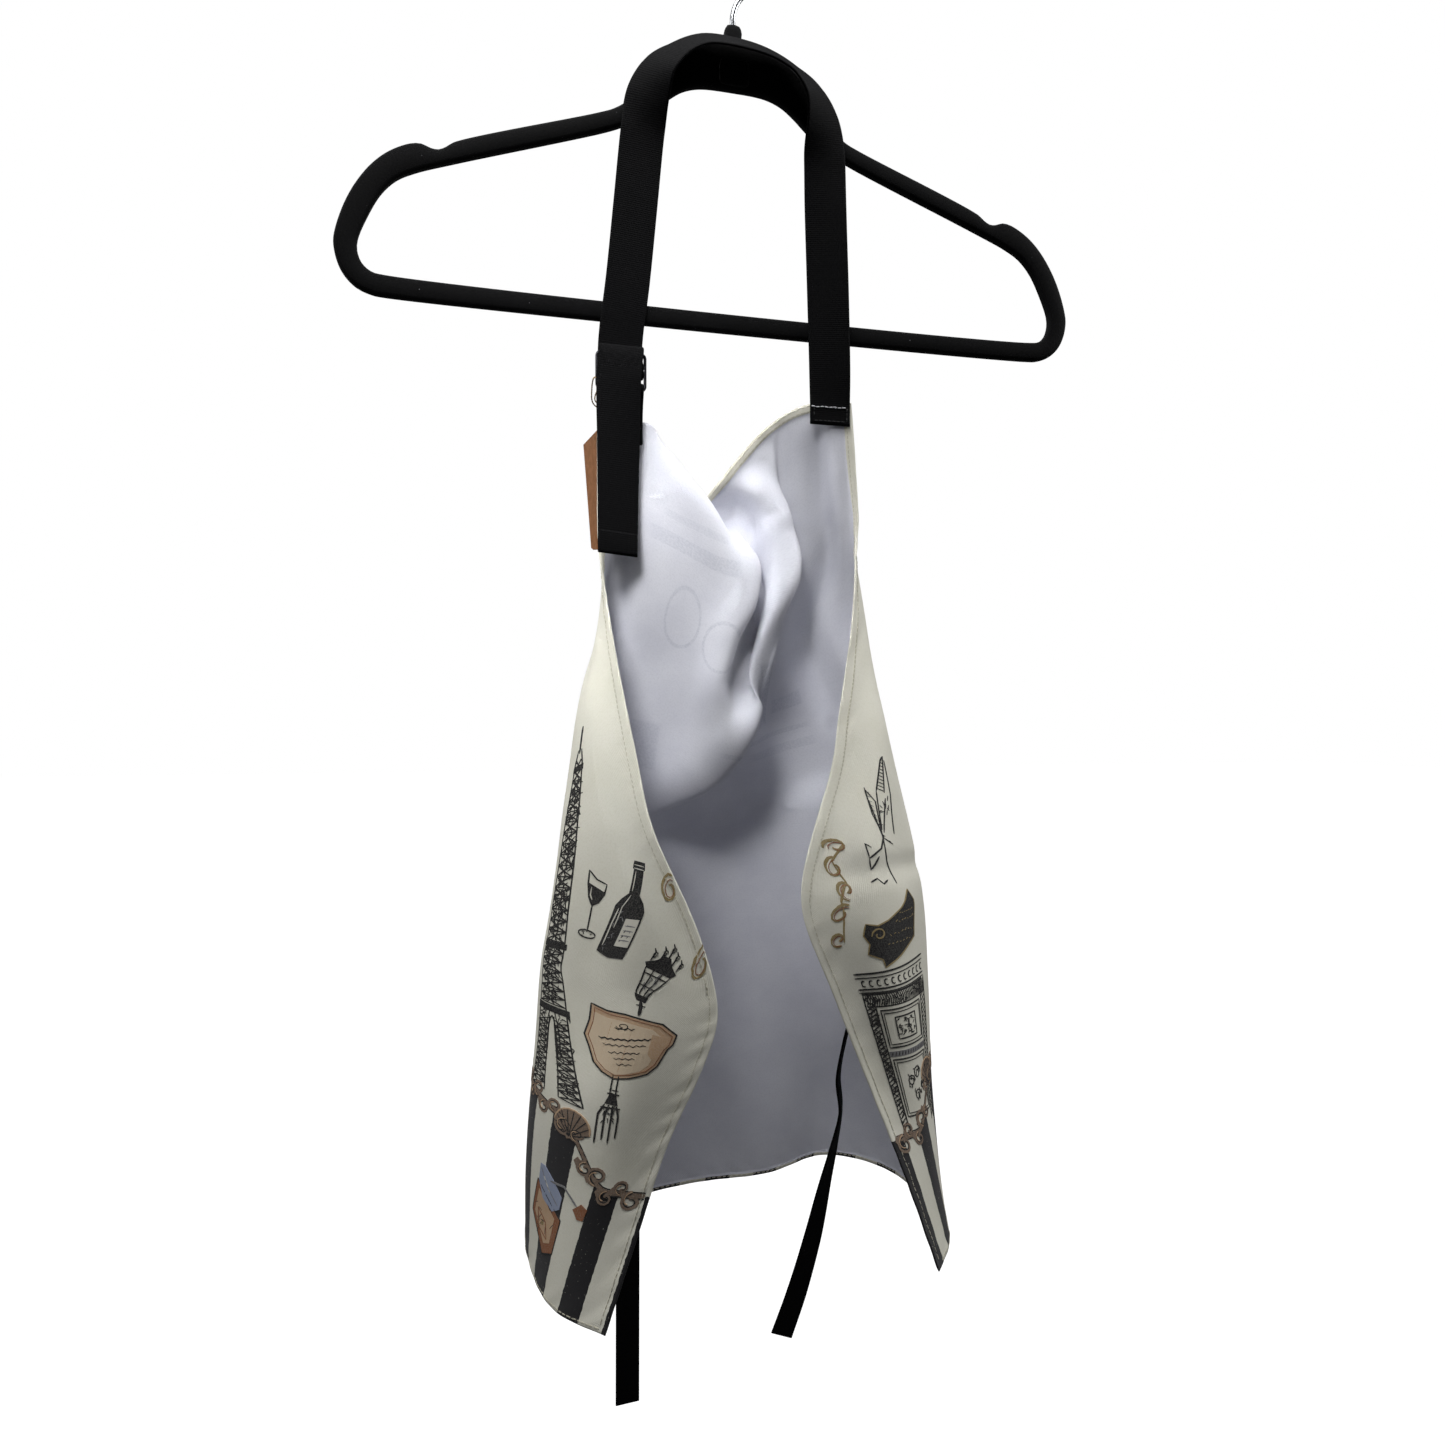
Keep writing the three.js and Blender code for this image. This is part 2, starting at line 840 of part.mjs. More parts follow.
// A loop of cord through the tag's eye and round the buckle's outer side.
function tagString() {
  const eyeZ = TAG.top - 7;
  const side = BUCKLE.x - BUCKLE.w / 2;
  const points = [
    [TAG.x, TAG.y - 1.6, eyeZ],
    [TAG.x - 1, TAG.y - 2, TAG.top - 1],
    [TAG.x - 6, TAG.y - 7, TAG.top + 6],
    [side + 1, 6, -287],
    [side + 1.9, -1.5, -281.4],
    [side + 1.7, -5.2, -279.6],
    [side + 1.7, -8.2, -279.2],
    [side + 1.3, -10.1, -279.1],
    [side, -10.6, -279],
    [side - 1.5, -10.1, -279.1],
    [side - 1.9, -8.2, -279.2],
    [side - 1.9, -5.2, -279.6],
    [side - 1.8, -1, -282.5],
    [side, 7, -288.5],
    [TAG.x - 5, TAG.y - 4, TAG.top + 5],
    [TAG.x + 0.4, TAG.y + 1, TAG.top + 1.4],
    [TAG.x + 0.6, TAG.y + 2, TAG.top - 3],
    [TAG.x + 0.2, TAG.y + 1.6, eyeZ],
  ].map((point) => new THREE.Vector3(...point));
  const curve = new THREE.CatmullRomCurve3(points, true, "centripetal");
  return new THREE.TubeGeometry(curve, 90, 0.5, 8, true);
}

add("hook_wire", hookWire(), MATERIALS.steel);
add(
  "hook_retaining_nut",
  postZ(NUT.r, NUT.z - NUT.thick / 2, NUT.z + NUT.thick / 2, 0, 0, 24).subtract(
    postZ(WIRE_R + 0.03, NUT.z - NUT.thick, NUT.z + NUT.thick, 0, 0, 24),
  ),
  MATERIALS.steel,
);
add("hanger_body", hangerBody(), MATERIALS.flock);
add("neck_strap", neckStrap(), MATERIALS.webbing);
add("buckle_anchor", buckleAnchor(), MATERIALS.webbing);
add("slide_buckle", slideBuckle(), MATERIALS.buckle);
add("apron_panel", apronPanel(), MATERIALS.cloth);
add("strap_stitching", stitchFrame(59.5, -6.1, -287.8, 21, 8.6), MATERIALS.thread);
add("anchor_stitching", stitchFrame(BUCKLE.x, -8.3, -305.5, 21, 13), MATERIALS.thread);
add("tail_stitching", tailStitching(), MATERIALS.thread);
add("waist_tie_left", waistTie(TIE_LEFT), MATERIALS.tie);
add("waist_tie_right", waistTie(TIE_RIGHT), MATERIALS.tie);
add("tie_stitching_left", tieStitching(TIE_LEFT), MATERIALS.thread);
add("tie_stitching_right", tieStitching(TIE_RIGHT), MATERIALS.thread);
add("hang_tag", hangTag(), MATERIALS.card);
add("tag_string", tagString(), MATERIALS.thread);

export default group;
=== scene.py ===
"""A child's bib apron hanging by its neck strap from a black flocked hanger with a swivel hook."""

import bisect
import math
import random

import bpy
import numpy as np
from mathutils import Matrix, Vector
from mathutils.geometry import delaunay_2d_cdt


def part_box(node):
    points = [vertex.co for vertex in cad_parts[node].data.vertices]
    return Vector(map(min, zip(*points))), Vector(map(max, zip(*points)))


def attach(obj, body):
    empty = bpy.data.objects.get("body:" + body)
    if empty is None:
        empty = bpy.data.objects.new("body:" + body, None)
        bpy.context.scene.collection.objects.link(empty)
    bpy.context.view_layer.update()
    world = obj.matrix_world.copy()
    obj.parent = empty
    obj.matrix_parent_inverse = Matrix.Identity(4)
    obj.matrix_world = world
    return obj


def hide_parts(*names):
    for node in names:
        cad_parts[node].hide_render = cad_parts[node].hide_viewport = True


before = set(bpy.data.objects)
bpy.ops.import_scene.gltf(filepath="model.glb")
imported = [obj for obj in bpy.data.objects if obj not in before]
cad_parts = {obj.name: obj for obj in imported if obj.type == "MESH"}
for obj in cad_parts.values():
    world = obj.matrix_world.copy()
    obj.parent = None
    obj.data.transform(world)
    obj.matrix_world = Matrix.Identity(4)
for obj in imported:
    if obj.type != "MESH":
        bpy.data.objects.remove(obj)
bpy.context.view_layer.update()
MM = 0.001
HEAD = -0.473  # the camera's height below the rail, and the level of the cloth table below


# ---------------------------------------------------------------- camera

CAMERA_AWAY = 0.62
CAMERA_ASIDE = 0.006
CAMERA_TURN = math.radians(15)


def make_camera():
    """A level camera turned about the hook's axis, whose view passes a little beside it."""
    data = bpy.data.cameras.new("camera")
    data.sensor_width = 36
    data.lens = 26.11
    data.clip_start = 0.02
    camera = bpy.data.objects.new("camera", data)
    sin, cos = math.sin(CAMERA_TURN), math.cos(CAMERA_TURN)
    camera.location = (-CAMERA_AWAY * sin - CAMERA_ASIDE * cos,
                       CAMERA_ASIDE * sin - CAMERA_AWAY * cos, HEAD)
    camera.rotation_euler = (math.radians(90), 0, -CAMERA_TURN)
    bpy.context.scene.collection.objects.link(camera)
    bpy.context.scene.camera = camera


make_camera()


# ---------------------------------------------------------------- node materials

class Nodes:
    """A material's node tree with short calls for the nodes that this scene uses."""

    def __init__(self, name):
        self.material = bpy.data.materials.new(name)
        self.material.use_nodes = True
        self.tree = self.material.node_tree
        self.shader = self.tree.nodes["Principled BSDF"]

    def node(self, kind, values=None, **settings):
        node = self.tree.nodes.new(kind)
        for key, value in settings.items():
            setattr(node, key, value)
        for key, value in (values or {}).items():
            self.put(node.inputs[key], value)
        return node

    def put(self, socket, value):
        if isinstance(value, bpy.types.NodeSocket):
            self.tree.links.new(value, socket)
        else:
            socket.default_value = value

    def set(self, **values):
        for key, value in values.items():
            self.put(self.shader.inputs[key.replace("_", " ")], value)

    def math(self, operation, a, b=0.0, c=0.0):
        return self.node("ShaderNodeMath", {0: a, 1: b, 2: c}, operation=operation).outputs[0]

    def times(self, a, b):
        return self.math("MULTIPLY", a, b)

    def plus(self, a, b):
        return self.math("ADD", a, b)

    def minus(self, a, b):
        return self.math("SUBTRACT", a, b)

    def object_place(self):
        return self.node("ShaderNodeTexCoord").outputs["Object"]

    def uv(self):
        place = self.node("ShaderNodeUVMap", uv_map="lay").outputs[0]
        split = self.node("ShaderNodeSeparateXYZ", {0: place})
        return place, split.outputs[0], split.outputs[1]

    def noise(self, place, scale, detail=3.0, roughness=0.55):
        values = {"Vector": place, "Scale": scale, "Detail": detail, "Roughness": roughness}
        return self.node("ShaderNodeTexNoise", values).outputs["Fac"]

    def ramp(self, value, low, high):
        """0 at low and below, 1 at high and above, with a smooth rise between."""
        node = self.node(
            "ShaderNodeMapRange", {0: value, 1: low, 2: high, 3: 0.0, 4: 1.0},
            interpolation_type="SMOOTHSTEP")
        return node.outputs[0]

    def mix(self, share, a, b):
        node = self.node("ShaderNodeMix", data_type="RGBA")
        self.put(node.inputs[0], share)
        self.put(node.inputs[6], a)
        self.put(node.inputs[7], b)
        return node.outputs[2]

    def bump(self, height, distance, strength=1.0, under=None):
        values = {"Height": height, "Distance": distance, "Strength": strength}
        node = self.node("ShaderNodeBump", values)
        if under is not None:
            self.put(node.inputs["Normal"], under)
        return node.outputs[0]

    def threads(self, along, pitch):
        """A row of round threads across a coordinate, from 0 to 1."""
        turn = self.times(along, math.pi / pitch)
        return self.math("ABSOLUTE", self.math("SINE", turn))

    def weave(self, u, v, pitch):
        """Plain weave of two sets of threads, from 0 to 1."""
        turn_u = self.math("SINE", self.times(u, math.pi / pitch))
        turn_v = self.math("SINE", self.times(v, math.pi / pitch))
        crossing = self.times(turn_u, turn_v)
        return self.math("MULTIPLY_ADD", crossing, 0.5, 0.5)


def rgb(red, green, blue):
    """A linear colour from sRGB 0-255 values."""
    def linear(value):
        value = value / 255
        return value / 12.92 if value <= 0.04045 else ((value + 0.055) / 1.055) ** 2.4
    return (linear(red), linear(green), linear(blue), 1.0)


CREAM = rgb(226, 224, 211)
STRIPE_BLACK = rgb(26, 25, 28)
STRIPE_PITCH = 0.0334
STRIPE_SHIFT = 40.361
BORDER_EDGE = 0.066
BORDER_DROP = 0.030
BORDER_RISE = 0.040
BORDER_STEP = (0.198, 0.238)


WEAVE_PITCH = 0.00052
WEAVE_DEPTH = 0.00012


def cloth_bump(m, u, v, place):
    """Woven threads and slubs over soft creases."""
    weave = m.weave(u, v, WEAVE_PITCH)
    slub = m.noise(place, 420, 2)
    height = m.plus(weave, m.times(slub, 0.8))
    crease = m.noise(place, 38, 3, 0.5)
    soft = m.bump(crease, 0.0011, 0.35)
    return m.bump(height, WEAVE_DEPTH, 0.6, soft)


def material_cloth_inside():
    """The unprinted face: white cotton with faint grey show-through of the print."""
    m = Nodes("cotton_inside")
    place, u, v = m.uv()
    mottle = m.ramp(m.noise(place, 26, 4, 0.6), 0.3, 0.75)
    base = m.mix(mottle, rgb(225, 226, 234), rgb(214, 215, 225))
    slub = m.ramp(m.noise(place, 900, 2), 0.42, 0.7)
    base = m.mix(m.times(slub, 0.22), base, rgb(194, 195, 204))
    marks = show_through(m, place, u, v)
    base = m.mix(m.times(marks, 0.5), base, rgb(168, 172, 186))
    m.set(Base_Color=base, Roughness=m.math("MULTIPLY_ADD", slub, 0.08, 0.82))
    m.set(Normal=cloth_bump(m, u, v, place))
    m.set(Sheen_Weight=0.18, Sheen_Roughness=0.5, Specular_IOR_Level=0.25)
    return m.material


def show_through(m, place, u, v):
    """Faint plain shapes: an oval ring and rows of blocks that the ink leaves on the back."""
    speck = m.ramp(m.noise(place, 700, 3), 0.40, 0.62)
    total = None
    for centre_u, centre_v, half_u, half_v in SHOW_OVALS:
        du = m.math("DIVIDE", m.minus(u, centre_u), half_u)
        dv = m.math("DIVIDE", m.minus(v, centre_v), half_v)
        square = m.plus(m.times(du, du), m.times(dv, dv))
        off = m.math("ABSOLUTE", m.minus(m.math("SQRT", square), 1.0))
        ring = m.minus(1.0, m.ramp(off, 0.03, 0.10))
        ring = m.times(ring, 0.75)
        total = ring if total is None else m.math("MAXIMUM", total, ring)
    for centre_u, centre_v, half_u, half_v, strength in SHOW_BLOCKS:
        du = m.math("DIVIDE", m.math("ABSOLUTE", m.minus(u, centre_u)), half_u)
        dv = m.math("DIVIDE", m.math("ABSOLUTE", m.minus(v, centre_v)), half_v)
        inside = m.minus(1.0, m.ramp(m.math("MAXIMUM", du, dv), 0.85, 1.05))
        block = m.times(inside, strength)
        total = m.math("MAXIMUM", total, block)
    return m.times(total, m.math("MULTIPLY_ADD", speck, 0.6, 0.4))


SHOW_OVALS = [(-0.052, 0.392, 0.011, 0.018), (-0.024, 0.385, 0.012, 0.017)]
SHOW_BLOCKS = [
    (-0.052, 0.432, 0.030, 0.0045, 0.6),
    (-0.050, 0.446, 0.022, 0.0022, 0.4),
    (-0.090, 0.318, 0.008, 0.022, 0.8),
    (-0.060, 0.312, 0.013, 0.014, 0.6),
    (0.035, 0.345, 0.006, 0.020, 0.9),
    (0.058, 0.334, 0.012, 0.004, 0.7),
    (0.030, 0.318, 0.040, 0.0015, 0.6),
    (0.044, 0.308, 0.026, 0.0028, 0.5),
]


def material_cloth_print():
    """The printed face: cream ground, with black stripes below the scrolled border."""
    m = Nodes("cotton_printed")
    place, u, v = m.uv()
    mottle = m.ramp(m.noise(place, 22, 4, 0.6), 0.3, 0.75)
    base = m.mix(mottle, CREAM, rgb(219, 217, 202))
    slub = m.ramp(m.noise(place, 900, 2), 0.42, 0.72)
    base = m.mix(m.times(slub, 0.25), base, rgb(203, 199, 178))
    away = m.math("ABSOLUTE", u)
    fall = m.ramp(away, *BORDER_STEP)
    rise = m.math("MAXIMUM", m.math("MULTIPLY_ADD", away, -1 / BORDER_STEP[0], 1.0), 0.0)
    top = m.math("MULTIPLY_ADD", fall, -BORDER_DROP, BORDER_EDGE + BORDER_DROP)
    top = m.math("MULTIPLY_ADD", rise, BORDER_RISE, top)
    wander = m.math("MULTIPLY_ADD", m.noise(place, 240, 3), 0.0016, -0.0008)
    below = m.math("LESS_THAN", m.plus(v, wander), top)
    lane = m.math("DIVIDE", m.plus(u, wander), STRIPE_PITCH)
    lane = m.math("FRACT", m.plus(lane, STRIPE_SHIFT))
    stripe = m.math("LESS_THAN", lane, 0.5)
    worn = m.ramp(m.noise(place, 520, 4, 0.7), 0.26, 0.36)
    black = m.times(m.times(below, stripe), worn)
    m.set(Base_Color=m.mix(black, base, STRIPE_BLACK))
    m.set(Roughness=m.math("MULTIPLY_ADD", black, -0.12, 0.84))
    m.set(Normal=cloth_bump(m, u, v, place))
    m.set(Sheen_Weight=0.12, Sheen_Roughness=0.5, Specular_IOR_Level=0.25)
    return m.material


def material_ink(name, colour, thin):
    """Printed ink with the cloth's threads showing through it."""
    m = Nodes(name)
    place = m.object_place()
    grain = m.ramp(m.noise(place, 1500, 3, 0.6), 0.32, 0.62)
    tone = m.noise(place, 90, 3)
    faded = tuple(c * 0.6 + g * 0.4 for c, g in zip(colour, CREAM))
    base = m.mix(m.times(m.minus(1.0, grain), thin), colour, faded)
    deep = tuple(c * 0.7 for c in colour[:3]) + (1.0,)
    base = m.mix(m.times(tone, 0.4), base, deep)
    m.set(Base_Color=base, Roughness=m.math("MULTIPLY_ADD", grain, 0.1, 0.72))
    m.set(Normal=m.bump(grain, 0.00005, 0.6))
    m.set(Specular_IOR_Level=0.3)
    return m.material


def material_webbing(name, colour, light, pitch):
    """Ribbed cotton webbing, with lint, and crowns on the ribs lightened as a painted highlight.
    """
    m = Nodes(name)
    place, u, v = m.uv()
    rib = m.threads(v, pitch)
    warp = m.threads(u, pitch * 0.7)
    height = m.plus(m.times(rib, 0.7), m.times(warp, 0.5))
    fuzz = m.noise(place, 1300, 3, 0.7)
    lint = m.ramp(m.noise(place, 310, 2, 0.8), 0.70, 0.78)
    # painted highlight: the colour turns lighter with the ribs' height, so the crowns look lit
    base = m.mix(m.times(height, 0.5), colour, light)
    base = m.mix(m.times(lint, 0.12), base, rgb(72, 72, 76))
    m.set(Base_Color=base, Roughness=m.math("MULTIPLY_ADD", fuzz, 0.2, 0.68))
    m.set(Normal=m.bump(m.plus(height, fuzz), 0.00022, 0.7))
    m.set(Sheen_Weight=0.008, Sheen_Roughness=0.4, Specular_IOR_Level=0.06)
    return m.material


def material_flock():
    """Black velvet flock with a soft sheen, rubbed patches and a few specks of lint."""
    m = Nodes("black_flock")
    place = m.object_place()
    pile = m.noise(place, 1700, 3, 0.7)
    rubbed = m.ramp(m.noise(place, 34, 4, 0.6), 0.52, 0.74)
    base = m.mix(pile, rgb(2, 2, 3), rgb(9, 9, 10))
    base = m.mix(m.times(rubbed, 0.3), base, rgb(19, 19, 21))
    cells = m.node("ShaderNodeTexVoronoi", {"Vector": place, "Scale": 190.0})
    speck = m.minus(1.0, m.ramp(cells.outputs["Distance"], 0.045, 0.075))
    kept = m.ramp(m.noise(place, 60, 2), 0.58, 0.62)
    base = m.mix(m.times(speck, kept), base, rgb(120, 120, 124))
    m.set(Base_Color=base, Roughness=m.math("MULTIPLY_ADD", pile, 0.15, 0.78))
    m.set(Normal=m.bump(pile, 0.00025, 0.7))
    m.set(Sheen_Weight=0.06, Sheen_Roughness=0.35, Specular_IOR_Level=0.1)
    return m.material


def material_metal(name, colour, wear_and_glint_colour, rough):
    """Plated metal with fine scratches and smudges, and sharp edges lightened: a painted highlight
    that stands in for glints as well as wear.
    """
    m = Nodes(name)
    place = m.object_place()
    stretched = m.node("ShaderNodeMapping", {"Vector": place, "Scale": (1.0, 1.0, 0.06)})
    scratch = m.noise(stretched.outputs[0], 2600, 2)
    smudge = m.noise(place, 130, 4, 0.6)
    # painted highlight: pointed edges are mixed towards a bright colour, standing in for glints as
    # well as worn metal
    edge = m.ramp(m.node("ShaderNodeNewGeometry").outputs["Pointiness"], 0.51, 0.60)
    edge = m.times(edge, m.ramp(smudge, 0.35, 0.6))
    base = m.mix(smudge, colour, tuple(c * 0.72 for c in colour[:3]) + (1.0,))
    m.set(Base_Color=m.mix(edge, base, wear_and_glint_colour))
    m.set(Roughness=m.math("MULTIPLY_ADD", scratch, 0.22, rough))
    m.set(Normal=m.bump(scratch, 0.00003, 0.4))
    m.set(Metallic=1.0)
    return m.material


def material_thread(name, colour, shade):
    """Twisted sewing thread."""
    m = Nodes(name)
    place = m.object_place()
    twist = m.node("ShaderNodeTexWave", {"Vector": place, "Scale": 900.0, "Distortion": 2.0},
                   bands_direction="DIAGONAL").outputs["Fac"]
    fuzz = m.noise(place, 2200, 2)
    base = m.mix(m.times(twist, 0.6), colour, shade)
    m.set(Base_Color=base, Roughness=m.math("MULTIPLY_ADD", fuzz, 0.2, 0.55))
    m.set(Normal=m.bump(twist, 0.00008, 0.6))
    return m.material


def material_card():
    """Brown kraft card with fibres, lighter blotches and dark specks."""
    m = Nodes("kraft_card")
    place = m.object_place()
    fibre_place = m.node("ShaderNodeMapping", {"Vector": place, "Scale": (1.0, 1.0, 0.25)})
    fibre = m.noise(fibre_place.outputs[0], 900, 4, 0.7)
    blotch = m.noise(place, 70, 3)
    base = m.mix(m.ramp(fibre, 0.3, 0.7), rgb(132, 88, 54), rgb(108, 69, 40))
    base = m.mix(m.times(blotch, 0.35), base, rgb(146, 100, 63))
    dark = m.ramp(m.noise(place, 1400, 2), 0.66, 0.74)
    base = m.mix(m.times(dark, 0.5), base, rgb(92, 62, 45))
    m.set(Base_Color=base, Roughness=m.math("MULTIPLY_ADD", fibre, 0.15, 0.75))
    m.set(Normal=m.bump(fibre, 0.00008, 0.6))
    return m.material


MATERIAL = {
    "inside": material_cloth_inside(),
    "print": material_cloth_print(),
    # webbings: the second colour is the painted highlight on the rib crowns
    "strap": material_webbing("black_webbing", rgb(3, 3, 4), rgb(10, 10, 12), 0.0012),
    "tape": material_webbing("black_tape", rgb(3, 3, 4), rgb(11, 11, 13), 0.0009),
    "flock": material_flock(),
    # metals: the second colour is the painted highlight along the edges, for glints as well as
    # wear
    "steel": material_metal("hook_steel", rgb(190, 192, 196), rgb(235, 235, 238), 0.16),
    "nut": material_metal("nut_steel", rgb(168, 168, 170), rgb(225, 225, 228), 0.24),
    "buckle": material_metal("dark_metal", rgb(52, 52, 56), rgb(205, 205, 210), 0.28),
    "white_thread": material_thread("white_thread", rgb(226, 226, 230), rgb(176, 176, 184)),
    "black_thread": material_thread("black_thread", rgb(24, 24, 27), rgb(9, 9, 10)),
    "thread_cream": material_thread("hem_thread", rgb(206, 202, 184), rgb(170, 166, 146)),
    "card": material_card(),
    "jute": material_thread("jute_string", rgb(186, 156, 112), rgb(120, 92, 58)),
    "ink_black": material_ink("ink_black", rgb(30, 29, 31), 0.22),
    "ink_grey": material_ink("ink_grey", rgb(122, 122, 124), 0.3),
    "ink_gold": material_ink("ink_gold", rgb(146, 128, 86), 0.35),
    "ink_bronze": material_ink("ink_bronze", rgb(128, 108, 92), 0.4),
    "ink_brown": material_ink("ink_brown", rgb(142, 92, 62), 0.3),
    "ink_tan": material_ink("ink_tan", rgb(196, 164, 132), 0.35),
    "ink_paper": material_ink("ink_paper", rgb(214, 194, 166), 0.35),
    "ink_blue": material_ink("ink_blue", rgb(150, 160, 184), 0.35),
    "ink_cream": material_ink("ink_cream", rgb(216, 213, 200), 0.2),
}


# ---------------------------------------------------------------- mesh helpers

def make_piece(name, vertices, faces, material, body, nodes=(), uv=None, smooth=True):
    """A mesh piece from vertices in metres that rides on a body and stands for CAD nodes."""
    mesh = bpy.data.meshes.new(name)
    mesh.from_pydata([tuple(v) for v in vertices], [], faces)
    materials = material if isinstance(material, (list, tuple)) else [material]
    for entry in materials:
        mesh.materials.append(entry)
    if uv is not None:
        layer = mesh.uv_layers.new(name="lay")
        corner = np.empty(len(mesh.loops), np.int32)
        mesh.loops.foreach_get("vertex_index", corner)
        layer.data.foreach_set("uv", np.asarray(uv, np.float32)[corner].ravel())
    mesh.polygons.foreach_set("use_smooth", [smooth] * len(mesh.polygons))
    mesh.update()
    piece = bpy.data.objects.new(name, mesh)
    bpy.context.scene.collection.objects.link(piece)
    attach(piece, body)
    if nodes:
        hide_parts(*nodes)
    return piece


def unit(rows):
    """Vectors of length 1 along the last axis of an array."""
    return rows / np.linalg.norm(rows, axis=-1, keepdims=True)


def along_loop(outline):
    """The unit direction of a closed outline at each of its points."""
    return unit(np.roll(outline, -1, axis=0) - np.roll(outline, 1, axis=0))


def walls(count, rings, closed=False, base=0):
    """Faces between rings of count vertices that follow each other from base."""
    faces = []
    for k in range(rings if closed else rings - 1):
        a, b = base + k * count, base + (k + 1) % rings * count
        for j in range(count):
            n = (j + 1) % count
            faces.append((a + j, a + n, b + n, b + j))
    return faces


def flipped(faces):
    return [(a, d, c, b) for a, b, c, d in faces]


def tube_faces(count, rings, closed=False):
    """The walls of a tube, and its two ends where it is open."""
    faces = walls(count, rings, closed)
    if not closed:
        faces.append(tuple(range(count))[::-1])
        faces.append(tuple(range((rings - 1) * count, rings * count)))
    return faces


def bend(x0, x1, x2, x3):
    """Factors of the powers of t for a smooth curve from x1 to x2, as t goes from 0 to 1."""
    d0, d1, d2 = (max(1e-6, np.linalg.norm(b - a) ** 0.5)
                  for a, b in ((x0, x1), (x1, x2), (x2, x3)))
    t1 = ((x1 - x0) / d0 - (x2 - x0) / (d0 + d1) + (x2 - x1) / d1) * d1
    t2 = ((x2 - x1) / d1 - (x3 - x1) / (d1 + d2) + (x3 - x2) / d2) * d1
    return x1, t1, -3 * x1 + 3 * x2 - 2 * t1 - t2, 2 * x1 - 2 * x2 + t1 + t2


def curve_points(stations, steps):
    """Points and tangents of a smooth curve through stations, and the place of each."""
    points = [np.array(station[:3], float) for station in stations]
    ends = [2 * points[0] - points[1], *points, 2 * points[-1] - points[-2]]
    places = np.linspace(0, len(points) - 1, steps + 1)
    found, tangents = [], []
    for place in places:
        i = min(len(points) - 2, int(place))
        c0, c1, c2, c3 = bend(*ends[i:i + 4])
        t = place - i
        found.append(c0 + c1 * t + c2 * t * t + c3 * t ** 3)
        tangents.append(unit(c1 + 2 * c2 * t + 3 * c3 * t * t))
    return np.array(found), np.array(tangents), places


def tape_section(width, thick, bead):
    """Outline of a woven tape: (across, up) points round it, with rounded selvedges."""
    top = []
    for share in (-0.5, -0.487, -0.455, -0.42, -0.385, -0.2, 0.0,
                  0.2, 0.385, 0.42, 0.455, 0.487, 0.5):
        edge = abs(share)
        up = thick / 2
        if edge > 0.49:
            up *= 0.35
        elif edge > 0.48:
            up *= 0.85
        elif edge > 0.44:
            up += bead
        elif edge > 0.41:
            up -= bead * 0.6
        top.append((share * width, up))
    return top + [(a, -b) for a, b in reversed(top)]


def tape(name, stations, width, thick, steps, material, body, nodes, bead=0.06):
    """A tape along stations [x, y, z, (direction of its width)], in mm."""
    at, tangent, places = curve_points(stations, steps)
    section = tape_section(width, thick, bead)
    length = np.concatenate([[0], np.cumsum(np.linalg.norm(np.diff(at, axis=0), axis=1))])
    vertices, uv = [], []
    for k, place in enumerate(places):
        i = min(len(stations) - 2, int(place))
        t = place - i
        across = np.array(stations[i][3], float) * (1 - t) + np.array(stations[i + 1][3]) * t
        across -= tangent[k] * across.dot(tangent[k])
        across /= np.linalg.norm(across)
        face = np.cross(tangent[k], across)
        for a, b in section:
            vertices.append((at[k] + across * a + face * b) * MM)
            uv.append((a * MM, length[k] * MM))
    faces = tube_faces(len(section), steps + 1)
    piece = make_piece(name, vertices, faces, material, body, nodes, uv)
    return piece, at * MM


def tube_mesh(at, tangent, radius, sides, closed=False):
    """Vertices and faces of a round tube whose frame turns as little as it can."""
    normal = np.cross(tangent[0], [0.31, 0.9, 0.3])
    normal /= np.linalg.norm(normal)
    vertices = []
    for k, (point, along) in enumerate(zip(at, tangent)):
        normal = normal - along * normal.dot(along)
        normal /= np.linalg.norm(normal)
        side = np.cross(along, normal)
        r = radius[k] if hasattr(radius, "__len__") else radius
        for j in range(sides):
            turn = 2 * math.pi * j / sides
            vertices.append(point + (normal * math.cos(turn) + side * math.sin(turn)) * r)
    return vertices, tube_faces(sides, len(at), closed)


def join_parts(parts):
    vertices, faces = [], []
    for some_vertices, some_faces in parts:
        base = len(vertices)
        vertices.extend(some_vertices)
        faces.extend([tuple(base + i for i in face) for face in some_faces])
    return vertices, faces


def within(point, outline):
    """Whether a flat point is inside a closed outline."""
    x, z = outline[:, 0], outline[:, 1]
    nx, nz = np.roll(x, -1), np.roll(z, -1)
    crosses = (z > point[1]) != (nz > point[1])
    with np.errstate(divide="ignore", invalid="ignore"):
        at = (nx - x) * (point[1] - z) / (nz - z) + x
    return bool(np.count_nonzero(crosses & (point[0] < at)) % 2)


def triangulate(outlines, inner):
    """Flat places and triangles inside the first outline and outside the others."""
    flat, edges = [], []
    for outline in outlines:
        base, count = len(flat), len(outline)
        flat.extend(Vector(p) for p in outline)
        edges.extend((base + k, base + (k + 1) % count) for k in range(count))
    found = delaunay_2d_cdt(flat + [Vector(p) for p in inner], edges, [], 0, 1e-7)
    places = [(p.x, p.y) for p in found[0]]
    shapes = [np.array(outline) for outline in outlines]
    kept = []
    for triangle in found[2]:
        middle = np.mean([places[i] for i in triangle], axis=0)
        if not within(middle, shapes[0]) or any(within(middle, s) for s in shapes[1:]):
            continue
        (ax, ay), (bx, by), (cx, cy) = (places[i] for i in triangle)
        turned = (bx - ax) * (cy - ay) - (by - ay) * (cx - ax) < 0
        kept.append(tuple(triangle[::-1]) if turned else tuple(triangle))
    return places, kept


